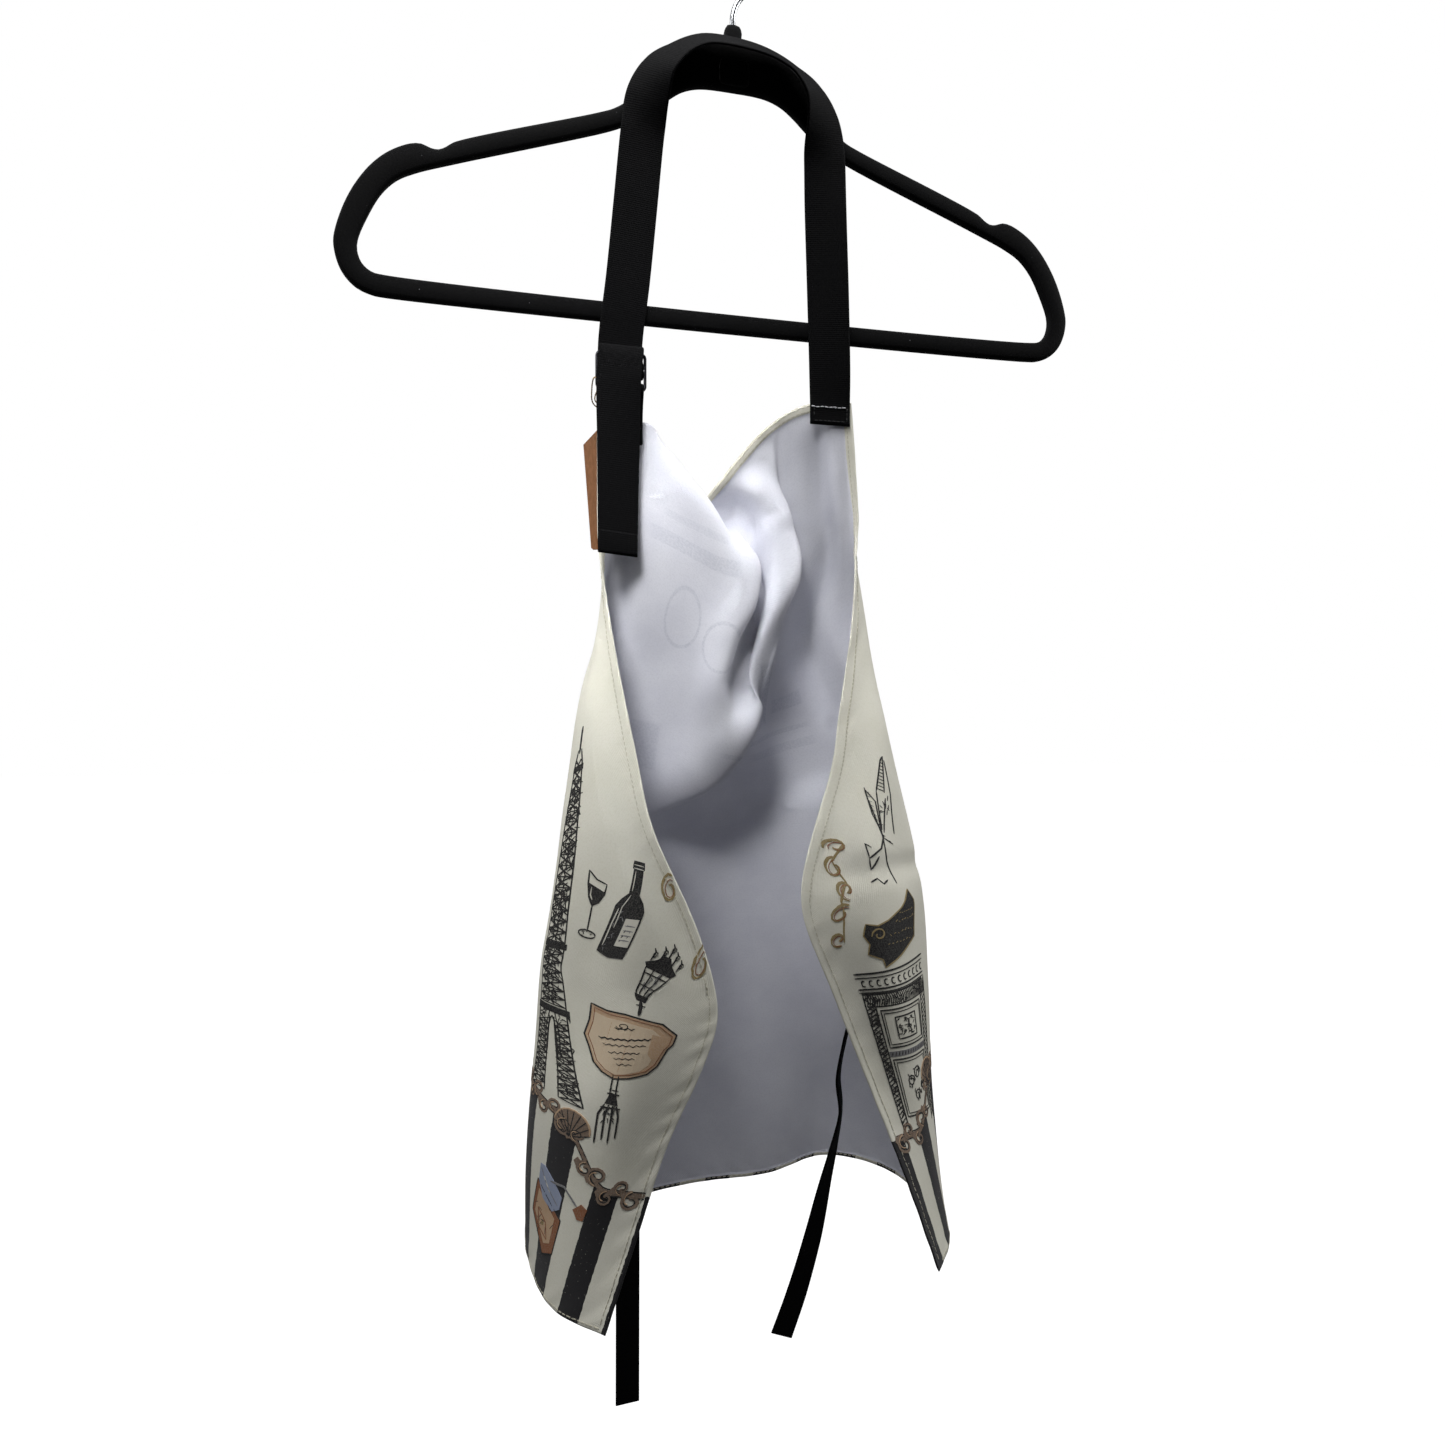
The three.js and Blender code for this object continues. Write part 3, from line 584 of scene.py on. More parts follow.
def rim_faces(triangles, size):
    """Walls that join a layer of triangles to the same layer size vertices further on."""
    pairs = {pair for a, b, c in triangles for pair in ((a, b), (b, c), (c, a))}
    return [(b, a, size + a, size + b) for a, b in sorted(pairs) if (b, a) not in pairs]


STITCH_GAP = 0.5
STITCH_LENGTH = 2.3


def stitches(points, facing, radius):
    """Short thread rods end to end along a line that lies on cloth, in mm."""
    parts = []
    points = np.array(points, float)
    hop = np.linalg.norm(np.diff(points, axis=0), axis=1)
    travelled = np.concatenate([[0], np.cumsum(hop)])
    pitch = STITCH_GAP + STITCH_LENGTH
    for k in range(int(travelled[-1] / pitch)):
        start = k * pitch + STITCH_GAP / 2
        middle = start + STITCH_LENGTH / 2
        ends = []
        for along in (start, middle, start + STITCH_LENGTH):
            i = min(len(points) - 2, bisect.bisect_right(list(travelled), along) - 1)
            t = (along - travelled[i]) / max(1e-9, hop[i])
            lift = radius * (0.9 if along == middle else 0.1)
            ends.append(points[i] * (1 - t) + points[i + 1] * t + np.array(facing) * lift)
        at = np.array(ends)
        tangent = unit(np.gradient(at, axis=0))
        parts.append(tube_mesh(at, tangent, [radius * 0.7, radius, radius * 0.7], 6))
    return parts


# ---------------------------------------------------------------- waist ties, the two cords

TIE_WIDTH = 13
TIE_THICK = 1.2
TIE_LEFT = [
    (-72.28, -39.84, -618.45, (-0.72, 0.685, 0.116)),
    (-72.87, -40.37, -625.82, (-0.714, 0.69, 0.116)),
    (-71.5, -37.5, -636, (-0.9, 0.43, 0)),
    (-71, -39.5, -655, (-0.97, 0.25, 0)),
    (-70, -41.5, -690, (-1, 0, 0)),
    (-70, -42, -750, (-1, -0.1, 0)),
    (-70, -41.5, -800, (-1, -0.1, 0)),
    (-70, -41, -838, (-1, -0.1, 0)),
]
TIE_RIGHT = [
    (70.52, -51.79, -579.06, (-0.896, -0.441, 0.062)),
    (71.54, -52.41, -587.6, (-0.889, -0.454, 0.065)),
    (67, -47.5, -606, (-0.8, -0.6, 0)),
    (60.5, -41.5, -632, (-0.5, -0.86, 0)),
    (55.8, -37.2, -656, (-0.5, -0.86, 0)),
    (52.8, -35.6, -676, (-0.5, -0.86, 0)),
    (54.4, -35, -695, (-0.45, -0.89, 0)),
    (50, -35, -716, (-0.66, -0.75, 0)),
    (45, -35, -735, (-0.8, -0.6, 0)),
    (37, -36, -765, (-0.95, -0.3, 0)),
    (27.5, -36, -795, (-1, -0.1, 0)),
    (18.5, -36, -818, (-1, 0, 0)),
]


# ---------------------------------------------------------------- the hanging cloth

# How the apron hangs. Each row is a height above the hem along the flat cloth, in mm, and the
# places (x, y, level above the camera) of twelve columns of it, from the left edge to the right.
COLUMNS = [-1, -0.85, -0.7, -0.5, -0.3, -0.1, 0.1, 0.3, 0.5, 0.7, 0.85, 1]
HANGING = [
    (0, [(-86, -67, -312), (-109, -35, -313), (-118, 3, -309), (-112, 55, -308),
         (-68, 73, -310), (-14, 71, -302), (40, 75, -303), (87, 82, -297),
         (122, 47, -298), (127, -8, -301), (118, -46, -299), (94, -80, -297)]),
    (45, [(-69, -64, -266), (-98, -43, -266), (-116, 0, -264), (-111, 50, -262),
          (-70, 68, -263), (-15, 68, -258), (38, 71, -257), (86, 72, -252),
          (121, 40, -253), (126, -10, -254), (106, -50, -251), (78, -74, -250)]),
    (95, [(-52, -61, -220), (-84, -50, -217), (-112, -6, -213), (-110, 42, -212),
          (-73, 62, -211), (-17, 65, -210), (36, 67, -208), (84, 60, -204),
          (118, 30, -205), (121, -14, -205), (92, -54, -201), (59, -65, -198)]),
    (145, [(-32, -60, -180), (-70, -53, -179), (-104, -12, -174), (-110, 32, -171),
           (-74, 56, -167), (-19, 62, -164), (34, 64, -161), (82, 52, -157),
           (117, 22, -157), (116, -20, -156), (78, -57, -151), (40, -58, -146)]),
    (190, [(-24, -57, -148), (-62, -52, -144), (-97, -16, -138), (-108, 24, -132),
           (-72, 50, -124), (-21, 60, -119), (32, 61, -116), (80, 47, -112),
           (114, 16, -108), (110, -24, -105), (66, -57, -102), (24, -51, -98)]),
    (225, [(-36, -52, -105), (-70, -43, -100), (-100, -9, -97), (-99, 30, -95),
           (-64, 48, -92), (-18, 56, -90), (28, 58, -88), (72, 48, -84),
           (106, 20, -79), (108, -17, -73), (74, -46, -67), (34, -46, -60)]),
    (260, [(-57, -45, -58), (-83, -31, -56), (-100, -2, -56), (-89, 33, -58),
           (-56, 45, -60), (-16, 50, -62), (24, 54, -60), (64, 48, -56),
           (98, 26, -50), (104, -8, -42), (83, -33, -32), (48, -39, -24)]),
    (292, [(-64, -37, -20), (-87, -21, -20), (-95, 6, -24), (-78, 30, -29),
           (-46, 28, -33), (-12, 22, -36), (20, 42, -36), (56, 50, -30),
           (89, 32, -21), (98, 2, -12), (86, -22, -1), (54, -34, 6)]),
    (325, [(-70, -28, 16), (-86, -12, 14), (-89, 9, 9), (-67, 21, 4), (-39, 15, -2),
           (-12, 7, -8), (12, 9, -8), (34, 36, 0), (66, 39, 9), (90, 18, 18),
           (87, -9, 26), (61, -28, 34)]),
    (355, [(-75, -19, 50), (-82, -3, 46), (-77, 12, 41), (-53, 11, 34), (-27, 3, 26),
           (-7, -2, 18), (12, 13, 18), (27, 8, 30), (44, 32, 42), (71, 30, 54),
           (86, 6, 64), (69, -19, 68)]),
    (390, [(-79, -8, 84), (-75, 4, 79), (-60, 3, 73), (-40, -1, 63), (-19, -4, 52),
           (2, -5, 44), (19, 12, 50), (33, 5, 67), (47, 27, 79), (67, 22, 92),
           (79, 7, 98), (75, -9, 100)]),
    (420, [(-81, -5, 107), (-67, -3, 104), (-51, -5, 99), (-32, -7, 90), (-11, -8, 79),
           (11, -8, 72), (23, 13, 80), (36, 6, 95), (46, 24, 109), (61, 14, 117),
           (73, 4, 122), (78, -5, 123)]),
    (445, [(-81, -4, 128), (-66, -4, 127), (-49, -6, 123), (-30, -9, 114), (-9, -10, 105),
           (9, -3, 104), (15, 20, 105), (26, 10, 116), (38, 20, 131), (53, 12, 141),
           (66, 2, 144), (77, -4, 146)]),
    (466, [(-81, -4, 146), (-65, -4, 146), (-49, -4.2, 145), (-30, -9, 138), (-14, -5, 130),
           (-4, 12, 111), (6, 23, 121), (19, 13, 136), (32, 16, 151), (48, 9, 162),
           (61, 0, 165), (76, -3.4, 166)]),
    (482, [(-81, -3, 161), (-65, -3, 161), (-49, -2.8, 161), (-32, -1, 152), (-25, 12, 138),
           (-19, 19, 117), (-3, 20, 132), (14, 13, 151), (27, 12, 167), (44, 6, 178),
           (59, -2, 181), (75, -2.7, 181)]),
    (495, [(-81, -3, 173), (-65, -3, 173), (-49, -1, 172), (-40, 12, 157), (-34, 20, 138),
           (-27, 22, 118), (-9, 15, 140), (9, 12, 163), (24, 10, 179), (42, 5, 191),
           (57, -2, 194), (74, -2.5, 194)]),
]
APRON_LENGTH = 495
SIDE_EDGE = 190
HALF_WIDE = 265
HALF_BIB = 110
CLOTH_THICK = 0.8
HEM_FOLD = 0.75
HEM_TOP = 5.6
HEM_SIDE = 6.4
HEM_LOW = 2.6
# Folds: a line of flat places, the height of the fold towards the inner face, and how far it
# reaches to the line's left and right.
FOLDS = [
    ([(50, 456), (36, 416), (30, 376), (20, 342), (1, 313), (-20, 290), (-58, 262)], 11, 26, 3.4),
    ([(20, 452), (-10, 427), (-20, 398), (-20, 361), (-10, 335)], 4, 16, 6),
    ([(16, 440), (0, 424), (-6, 398), (-6, 370), (0, 350)], -6, 7, 9),
    ([(20, 490), (33, 470), (41, 452), (36, 440)], 5, 5, 9),
    ([(14, 478), (24, 462), (22, 446)], -5, 9, 8),
    ([(88, 486), (84, 430), (86, 378), (84, 320)], -4, 8, 6),
    ([(99, 484), (98, 425), (100, 372), (102, 320)], 3, 7, 7),
    ([(-98, 425), (-93, 372), (-99, 320)], -4, 9, 9),
    ([(64, 470), (66, 430), (62, 380), (66, 330)], 3, 12, 12),
    ([(-60, 250), (-48, 190), (-56, 120), (-50, 40)], 3.5, 22, 26),
    ([(-6, 240), (4, 170), (-4, 90), (4, 10)], -3.5, 24, 20),
    ([(46, 250), (40, 170), (52, 90), (48, 10)], 3, 18, 26),
    ([(112, 260), (120, 190), (112, 120), (118, 20)], -3, 24, 20),
    ([(-196, 250), (-206, 200), (-216, 150), (-214, 90)], -2.5, 18, 14),
    ([(196, 250), (210, 200), (222, 160), (232, 100)], -2.5, 16, 18),
    ([(150, 214), (190, 212), (240, 204)], 1.6, 7, 5),
]


def half_width(height):
    """Half of the flat width of the apron at a height above its hem, in mm."""
    if height <= SIDE_EDGE:
        return HALF_WIDE
    rise = (height - SIDE_EDGE) / (APRON_LENGTH - SIDE_EDGE)
    return HALF_BIB + (HALF_WIDE - HALF_BIB) * (1 - rise) ** 2.2


def hermite(knots, values, places):
    """A smooth curve through values (n, ...) at knots, read at places."""
    knots = np.asarray(knots, float)
    places = np.asarray(places, float)
    step = np.diff(knots)
    rise = np.diff(values, axis=0) / step.reshape(-1, *[1] * (values.ndim - 1))
    slope = np.empty_like(values)
    weight = (step[1:] / (step[1:] + step[:-1])).reshape(-1, *[1] * (values.ndim - 1))
    slope[1:-1] = rise[:-1] * weight + rise[1:] * (1 - weight)
    slope[0], slope[-1] = rise[0], rise[-1]
    i = np.clip(np.searchsorted(knots, places, side="right") - 1, 0, len(knots) - 2)
    h = step[i]
    shape = (-1, *[1] * (values.ndim - 1))
    t = ((places - knots[i]) / h).reshape(shape)
    h = h.reshape(shape)
    t2, t3 = t * t, t * t * t
    return ((2 * t3 - 3 * t2 + 1) * values[i] + (t3 - 2 * t2 + t) * h * slope[i]
            + (3 * t2 - 2 * t3) * values[i + 1] + (t3 - t2) * h * slope[i + 1])


def graded(length, edge, step):
    """Places from 0 to length, close together near both ends, about step apart between."""
    inner = np.linspace(edge[-1], length - edge[-1],
                        max(2, round((length - 2 * edge[-1]) / step) + 1))
    return np.concatenate([edge[:-1], inner, [length - e for e in reversed(edge[:-1])]])


class Cloth:
    """The hung cloth as a grid: flat places s, h and hung points and inner-face normals."""

    EDGE = [0, 0.7, 1.7, 2.4, 3.2, 4.4, 5.4, 6.2, 7.2, 8.6]

    def __init__(self, step):
        self.h = graded(APRON_LENGTH, self.EDGE, step)
        columns = len(graded(2 * HALF_WIDE, self.EDGE, step))
        inner = columns - 2 * (len(self.EDGE) - 1)
        table = np.array([row for _, row in HANGING], float)
        table[:, :, 2] += HEAD * 1000
        rows = hermite([height for height, _ in HANGING], table, self.h)
        self.s = np.empty((len(self.h), columns))
        self.point = np.empty((len(self.h), columns, 3))
        for k, height in enumerate(self.h):
            half = half_width(height)
            width = 2 * half
            middle = np.linspace(self.EDGE[-1], width - self.EDGE[-1], inner)
            edges = np.array(self.EDGE[:-1])
            across = np.concatenate([edges, middle, width - edges[::-1]])
            self.s[k] = across - half
            self.point[k] = hermite(COLUMNS, rows[k], self.s[k] / half)
        self.soften(14)
        self.find_normals()
        for fold in FOLDS:
            self.fold(*fold)
        self.soften(1)
        self.wrinkle()
        self.find_normals()

    def soften(self, rounds):
        """Evens out the creases that the table's rows and columns leave."""
        p = self.point
        for _ in range(rounds):
            q = p.copy()
            q[1:-1, 1:-1] = (p[:-2, 1:-1] + p[2:, 1:-1] + p[1:-1, :-2] + p[1:-1, 2:]) / 4
            q[0, 1:-1] = (p[0, :-2] + p[0, 2:]) / 2
            q[-1, 1:-1] = (p[-1, :-2] + p[-1, 2:]) / 2
            q[1:-1, 0] = (p[:-2, 0] + p[2:, 0]) / 2
            q[1:-1, -1] = (p[:-2, -1] + p[2:, -1]) / 2
            p = p * 0.5 + q * 0.5
        self.point = p

    def wrinkle(self):
        """Small soft waves, and a slight pucker along the sewn edges."""
        self.find_normals()
        s, h = self.s, self.h[:, None]
        half = np.array([half_width(x) for x in self.h])[:, None]
        inside = np.minimum(half - np.abs(s), np.minimum(h, APRON_LENGTH - h))
        away = np.clip(inside / 40, 0, 1)
        lift = 0.45 * np.sin(s / 17 + 1.3 * np.sin(h / 41)) * np.sin(h / 63 + 0.8)
        lift += 0.35 * np.sin((s * 0.6 + h) / 23 + 0.7 * np.sin(s / 29))
        lift *= 0.5 + 0.5 * away
        pucker = np.exp(-((inside - 5) / 6) ** 2)
        lift += pucker * 0.22 * np.sin((s + h) / 2.6 + np.sin(s / 11) + np.sin(h / 9))
        lift *= 1 - 0.8 * np.clip((h - 440) / 40, 0, 1) * (np.abs(s) > 70)
        self.point = self.point + self.normal * lift[..., None]

    def fold(self, line, height, left, right):
        """Raises a fold along a line of flat places."""
        s, h = self.s, np.repeat(self.h[:, None], self.s.shape[1], axis=1)
        nearest = np.full(s.shape, 1e9)
        lift = np.zeros(s.shape)
        parts = len(line) - 1
        for k in range(parts):
            (s0, h0), (s1, h1) = line[k], line[k + 1]
            length = math.hypot(s1 - s0, h1 - h0)
            ds, dh = (s1 - s0) / length, (h1 - h0) / length
            t = np.clip(((s - s0) * ds + (h - h0) * dh) / length, 0, 1)
            away = np.hypot(s - s0 - t * length * ds, h - h0 - t * length * dh)
            turned = (s - s0) * dh - (h - h0) * ds
            reach = np.where(turned > 0, left, right)
            share = (k + t) / parts
            taper = np.sqrt(np.clip(1.6 * np.sin(math.pi * (0.04 + 0.92 * share)), 0, 1))
            closer = away < nearest
            nearest = np.where(closer, away, nearest)
            lift = np.where(closer, height * taper * np.exp(-(away / reach) ** 2), lift)
        half = np.array([half_width(x) for x in self.h])[:, None]
        edge = np.minimum(half - np.abs(s), APRON_LENGTH - h)
        lift *= 0.25 + 0.75 * np.clip(edge / 25, 0, 1)
        self.point = self.point + self.normal * lift[..., None]

    def find_normals(self):
        side = np.gradient(self.point, axis=1)
        up = np.gradient(self.point, axis=0)
        self.normal = unit(np.cross(side, up))

    def at(self, s, h, lift=0.0):
        """The hung point of a flat place, lifted off the middle of the cloth towards its
        inner face."""
        h = min(max(h, self.h[0]), self.h[-1])
        k = min(len(self.h) - 2, bisect.bisect_right(self.h, h) - 1)
        share = (h - self.h[k]) / (self.h[k + 1] - self.h[k])
        total, face = np.zeros(3), np.zeros(3)
        for row, weight in ((k, 1 - share), (k + 1, share)):
            line = self.s[row]
            place = min(max(s, line[0]), line[-1])
            j = min(len(line) - 2, int(np.searchsorted(line, place, side="right")) - 1)
            t = (place - line[j]) / (line[j + 1] - line[j])
            total += weight * (self.point[row, j] * (1 - t) + self.point[row, j + 1] * t)
            face += weight * (self.normal[row, j] * (1 - t) + self.normal[row, j + 1] * t)
        return total + unit(face) * lift


def make_apron(cloth):
    """The sheet of cloth with its turned hems, white inside and printed outside."""
    rows, columns = cloth.s.shape
    half = np.array([half_width(x) for x in cloth.h])[:, None]
    h = np.repeat(cloth.h[:, None], columns, axis=1)
    turned = np.where(cloth.s > -25, HEM_TOP, 0.3)
    depth = np.minimum(np.minimum((half - np.abs(cloth.s)) / HEM_SIDE, h / HEM_LOW),
                       (APRON_LENGTH - h) / turned)
    inside = np.minimum(half - np.abs(cloth.s), np.minimum(h, APRON_LENGTH - h))
    folded = 1 - np.clip((depth - 0.88) / 0.16, 0, 1)
    groove = np.exp(-((depth - 0.74) / 0.08) ** 2) * 0.2
    round_off = 1 - 0.6 * np.clip(1 - inside / 1.6, 0, 1) ** 2
    outer = CLOTH_THICK / 2 * round_off - groove * 0.4
    inner = (CLOTH_THICK / 2 + HEM_FOLD * folded - groove) * round_off
    front = cloth.point + cloth.normal * inner[..., None]
    back = cloth.point - cloth.normal * outer[..., None]
    vertices = np.concatenate([front.reshape(-1, 3), back.reshape(-1, 3)]) * MM
    flat = np.stack([cloth.s, h], axis=2).reshape(-1, 2) * MM
    uv = np.concatenate([flat, flat])
    count = rows * columns
    faces, inside_face = [], []

    def cell(k, j):
        return k * columns + j

    for k in range(rows - 1):
        for j in range(columns - 1):
            a, b, c, d = cell(k, j), cell(k, j + 1), cell(k + 1, j + 1), cell(k + 1, j)
            faces.append((a, b, c, d))
            hem = (depth[k, j] + depth[k + 1, j + 1]) / 2 < 1
            inside_face.append(1 if hem else 0)
            faces.append((count + d, count + c, count + b, count + a))
            inside_face.append(1)
    loop = [cell(0, j) for j in range(columns - 1)]
    loop += [cell(k, columns - 1) for k in range(rows - 1)]
    loop += [cell(rows - 1, j) for j in range(columns - 1, 0, -1)]
    loop += [cell(k, 0) for k in range(rows - 1, 0, -1)]
    for i, a in enumerate(loop):
        b = loop[(i + 1) % len(loop)]
        faces.append((b, a, count + a, count + b))
        inside_face.append(1)
    piece = make_piece("apron_cloth", vertices, faces,
                       [MATERIAL["inside"], MATERIAL["print"]], "apron",
                       ("apron_panel",), uv)
    piece.data.polygons.foreach_set("material_index", inside_face)
    return piece


# ---------------------------------------------------------------- hanger and hook

HOOK_PATH = [(0, 0, -91), (0, 0, -80), (0, 0, -62), (0, 0, -56), (2.6, 0, -47.5),
             (9.5, 0, -38.8)]
HOOK_MIDDLE = -19
HOOK_BEND = 20.6
WIRE_RADIUS = 1.6
NUT_RADIUS = 3.4


def make_hook():
    """A bent wire from the nut, up through the neck and over the rail to a rounded tip."""
    path = list(HOOK_PATH)
    for degree in range(-35, 206, 20):
        turn = math.radians(degree)
        path.append((math.cos(turn) * HOOK_BEND, 0, HOOK_MIDDLE + math.sin(turn) * HOOK_BEND))
    at, tangent, _ = curve_points(path, 170)
    radius = np.full(len(at), WIRE_RADIUS)
    radius[-4:] = WIRE_RADIUS * np.array([0.97, 0.88, 0.68, 0.3])
    vertices, faces = tube_mesh(at, tangent, radius, 24)
    make_piece("hook_steel_wire", np.array(vertices) * MM, faces, MATERIAL["steel"],
               "hook", ("hook_wire",))


def make_nut():
    """A riveted steel ring with bevelled edges and a fine knurl."""
    low, high = (corner.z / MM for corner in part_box("hook_retaining_nut"))
    edge = 0.45
    outline = [(low, WIRE_RADIUS + 0.05), (low, NUT_RADIUS - edge), (low + edge, NUT_RADIUS),
               (high - edge, NUT_RADIUS), (high, NUT_RADIUS - edge),
               (high, WIRE_RADIUS + 0.05)]
    sides = 36
    vertices = []
    for z, radius in outline:
        for j in range(sides):
            turn = 2 * math.pi * j / sides
            knurl = 0.12 * (j % 2) if radius == NUT_RADIUS else 0
            r = radius - knurl
            vertices.append((math.cos(turn) * r, math.sin(turn) * r, z))
    faces = walls(sides, len(outline), closed=True)
    make_piece("hook_riveted_nut", np.array(vertices) * MM, faces, MATERIAL["nut"], "hook",
               ("hook_retaining_nut",), smooth=False)


HANGER_TOP = [
    (5.3, -71.8), (20, -73.4), (30, -77.2), (38, -83), (45, -90), (52, -99.5), (58, -108.8),
    (64, -116.2), (71, -121.2), (80, -125), (160, -153.5), (164, -156.5), (168, -158.5),
    (172, -158.3), (177, -156.6), (183, -157.4), (194, -163), (203, -171), (211, -182),
    (217, -194), (221.5, -208), (222.5, -215), (221, -224), (217.5, -231.5), (211, -238),
    (203, -241.2), (196, -242)]
HANGER_LOW = [
    (0, -100), (20, -100.9), (30, -104.2), (38, -109.8), (46, -117), (56, -124.6),
    (66, -130.2), (76, -134.6), (160, -164.4), (180, -172), (190, -177.5), (198, -186),
    (205, -199), (210, -212), (210.3, -218), (208, -225), (203, -229.3), (196, -230.5)]
POCKET = (6.5, -95.8, -85.6, -3.6)
BOSS = (8.5, -97.8, -83.6, -4.8)
HANGER_THICK = 6
HANGER_ROUND = 1.9
NECK_TOP = -62
NECK_HALF_W = 5.3
OUTLINE_STEP = 2.6


def closed_curve(points, step):
    """A smooth closed outline through points, with points about step apart."""
    count = len(points)
    found = []
    for i in range(count):
        near = [np.array(points[(i + k) % count], float) for k in (-1, 0, 1, 2)]
        c0, c1, c2, c3 = bend(*near)
        parts = max(1, round(np.linalg.norm(near[2] - near[1]) / step))
        for k in range(parts):
            t = k / parts
            found.append(c0 + c1 * t + c2 * t * t + c3 * t ** 3)
    return np.array(found)


def inset(outline, by):
    """A closed outline moved inwards by a distance, where inwards is to its left."""
    along = along_loop(outline)
    left = np.stack([-along[:, 1], along[:, 0]], axis=1)
    return outline + left * by


def ring_area(outline):
    x, z = outline[:, 0], outline[:, 1]
    return 0.5 * float(np.sum(x * np.roll(z, -1) - np.roll(x, -1) * z))


def make_hanger():
    """The flat flocked body with rounded edges, a boss in front and the nut's pocket behind."""
    top = [(NECK_HALF_W, NECK_TOP - 4), (NECK_HALF_W - 1.6, NECK_TOP)]
    right = top[::-1] + HANGER_TOP
    outer = right + [(-x, z) for x, z in reversed(right)]
    opening = HANGER_LOW + [(-x, z) for x, z in reversed(HANGER_LOW[1:])]
    loops = [closed_curve(outline, OUTLINE_STEP) for outline in (outer, opening)]
    loops = [loop if (ring_area(loop) > 0) == (k == 0) else loop[::-1]
             for k, loop in enumerate(loops)]
    vertices, faces, rims = [], [], {-1: [], 1: []}
    steps = [0.0, 0.25, 0.5, 0.75, 1.0]
    for loop in loops:
        rings = []
        for side in (-1, 1):
            for share in (steps[::-1] if side < 0 else steps):
                depth = HANGER_THICK / 2 - HANGER_ROUND * (1 - share)
                ring = inset(loop, HANGER_ROUND * ring_in(share))
                rings.append([(x, side * depth, z) for x, z in ring])
        base, count = len(vertices), len(loop)
        for ring in rings:
            vertices.extend(ring)
        faces.extend(flipped(walls(count, len(rings), base=base)))
        rims[-1].append(list(range(base, base + count)))
        last = base + (len(rings) - 1) * count
        rims[1].append(list(range(last, last + count)))
    pocket = rounded_block(POCKET)[::-1]
    base, count = len(vertices), len(pocket)
    for depth in (HANGER_THICK / 2, POCKET[3]):
        vertices.extend((x, depth, z) for x, z in pocket)
    faces.extend(walls(count, 2, base=base))
    rims[1].append(list(range(base, base + count)))
    faces.append(tuple(range(base + count, base + 2 * count)))
    for side in (-1, 1):
        faces.extend(fill_between(vertices, rims[side], -side))
    boss = rounded_block(BOSS)
    base, count = len(vertices), len(boss)
    for depth, by in ((-2.6, 0), (-4.2, 0), (-4.6, 0.25), (BOSS[3], 0.8)):
        vertices.extend((x, depth, z) for x, z in inset(boss, by))
    faces.extend(walls(count, 4, base=base))
    faces.append(tuple(range(base, base + count))[::-1])
    faces.append(tuple(range(base + 3 * count, base + 4 * count)))
    make_piece("hanger_flocked_body", np.array(vertices) * MM, faces,
               MATERIAL["flock"], "hanger", ("hanger_body",))


def rounded_block(block):
    """The outline of a block (half width, low, high, depth) with cut corners."""
    w, low, high = block[:3]
    return closed_curve([(w, low + 1), (w, high - 1), (w - 1, high), (1 - w, high),
                         (-w, high - 1), (-w, low + 1), (1 - w, low), (w - 1, low)], 1.5)


def ring_in(depth_share):
    """How far in a rounded edge is, from 0 at its side to 1 on the flat face."""
    return 1 - math.sqrt(max(0.0, 1 - depth_share ** 2))


def fill_between(vertices, loops, side):
    """Triangles of a flat face between its outline and its holes."""
    index = [i for loop in loops for i in loop]
    flat = [[(vertices[i][0], vertices[i][2]) for i in loop] for loop in loops]
    faces = [tuple(index[i] for i in triangle) for triangle in triangulate(flat, [])[1]]
    return faces if side > 0 else [face[::-1] for face in faces]


# ---------------------------------------------------------------- strap, buckle and anchor

STRAP_WIDTH = 25.4
STRAP_THICK = 1.5


def crown(degrees):
    return (0, math.cos(math.radians(degrees)), math.sin(math.radians(degrees)))


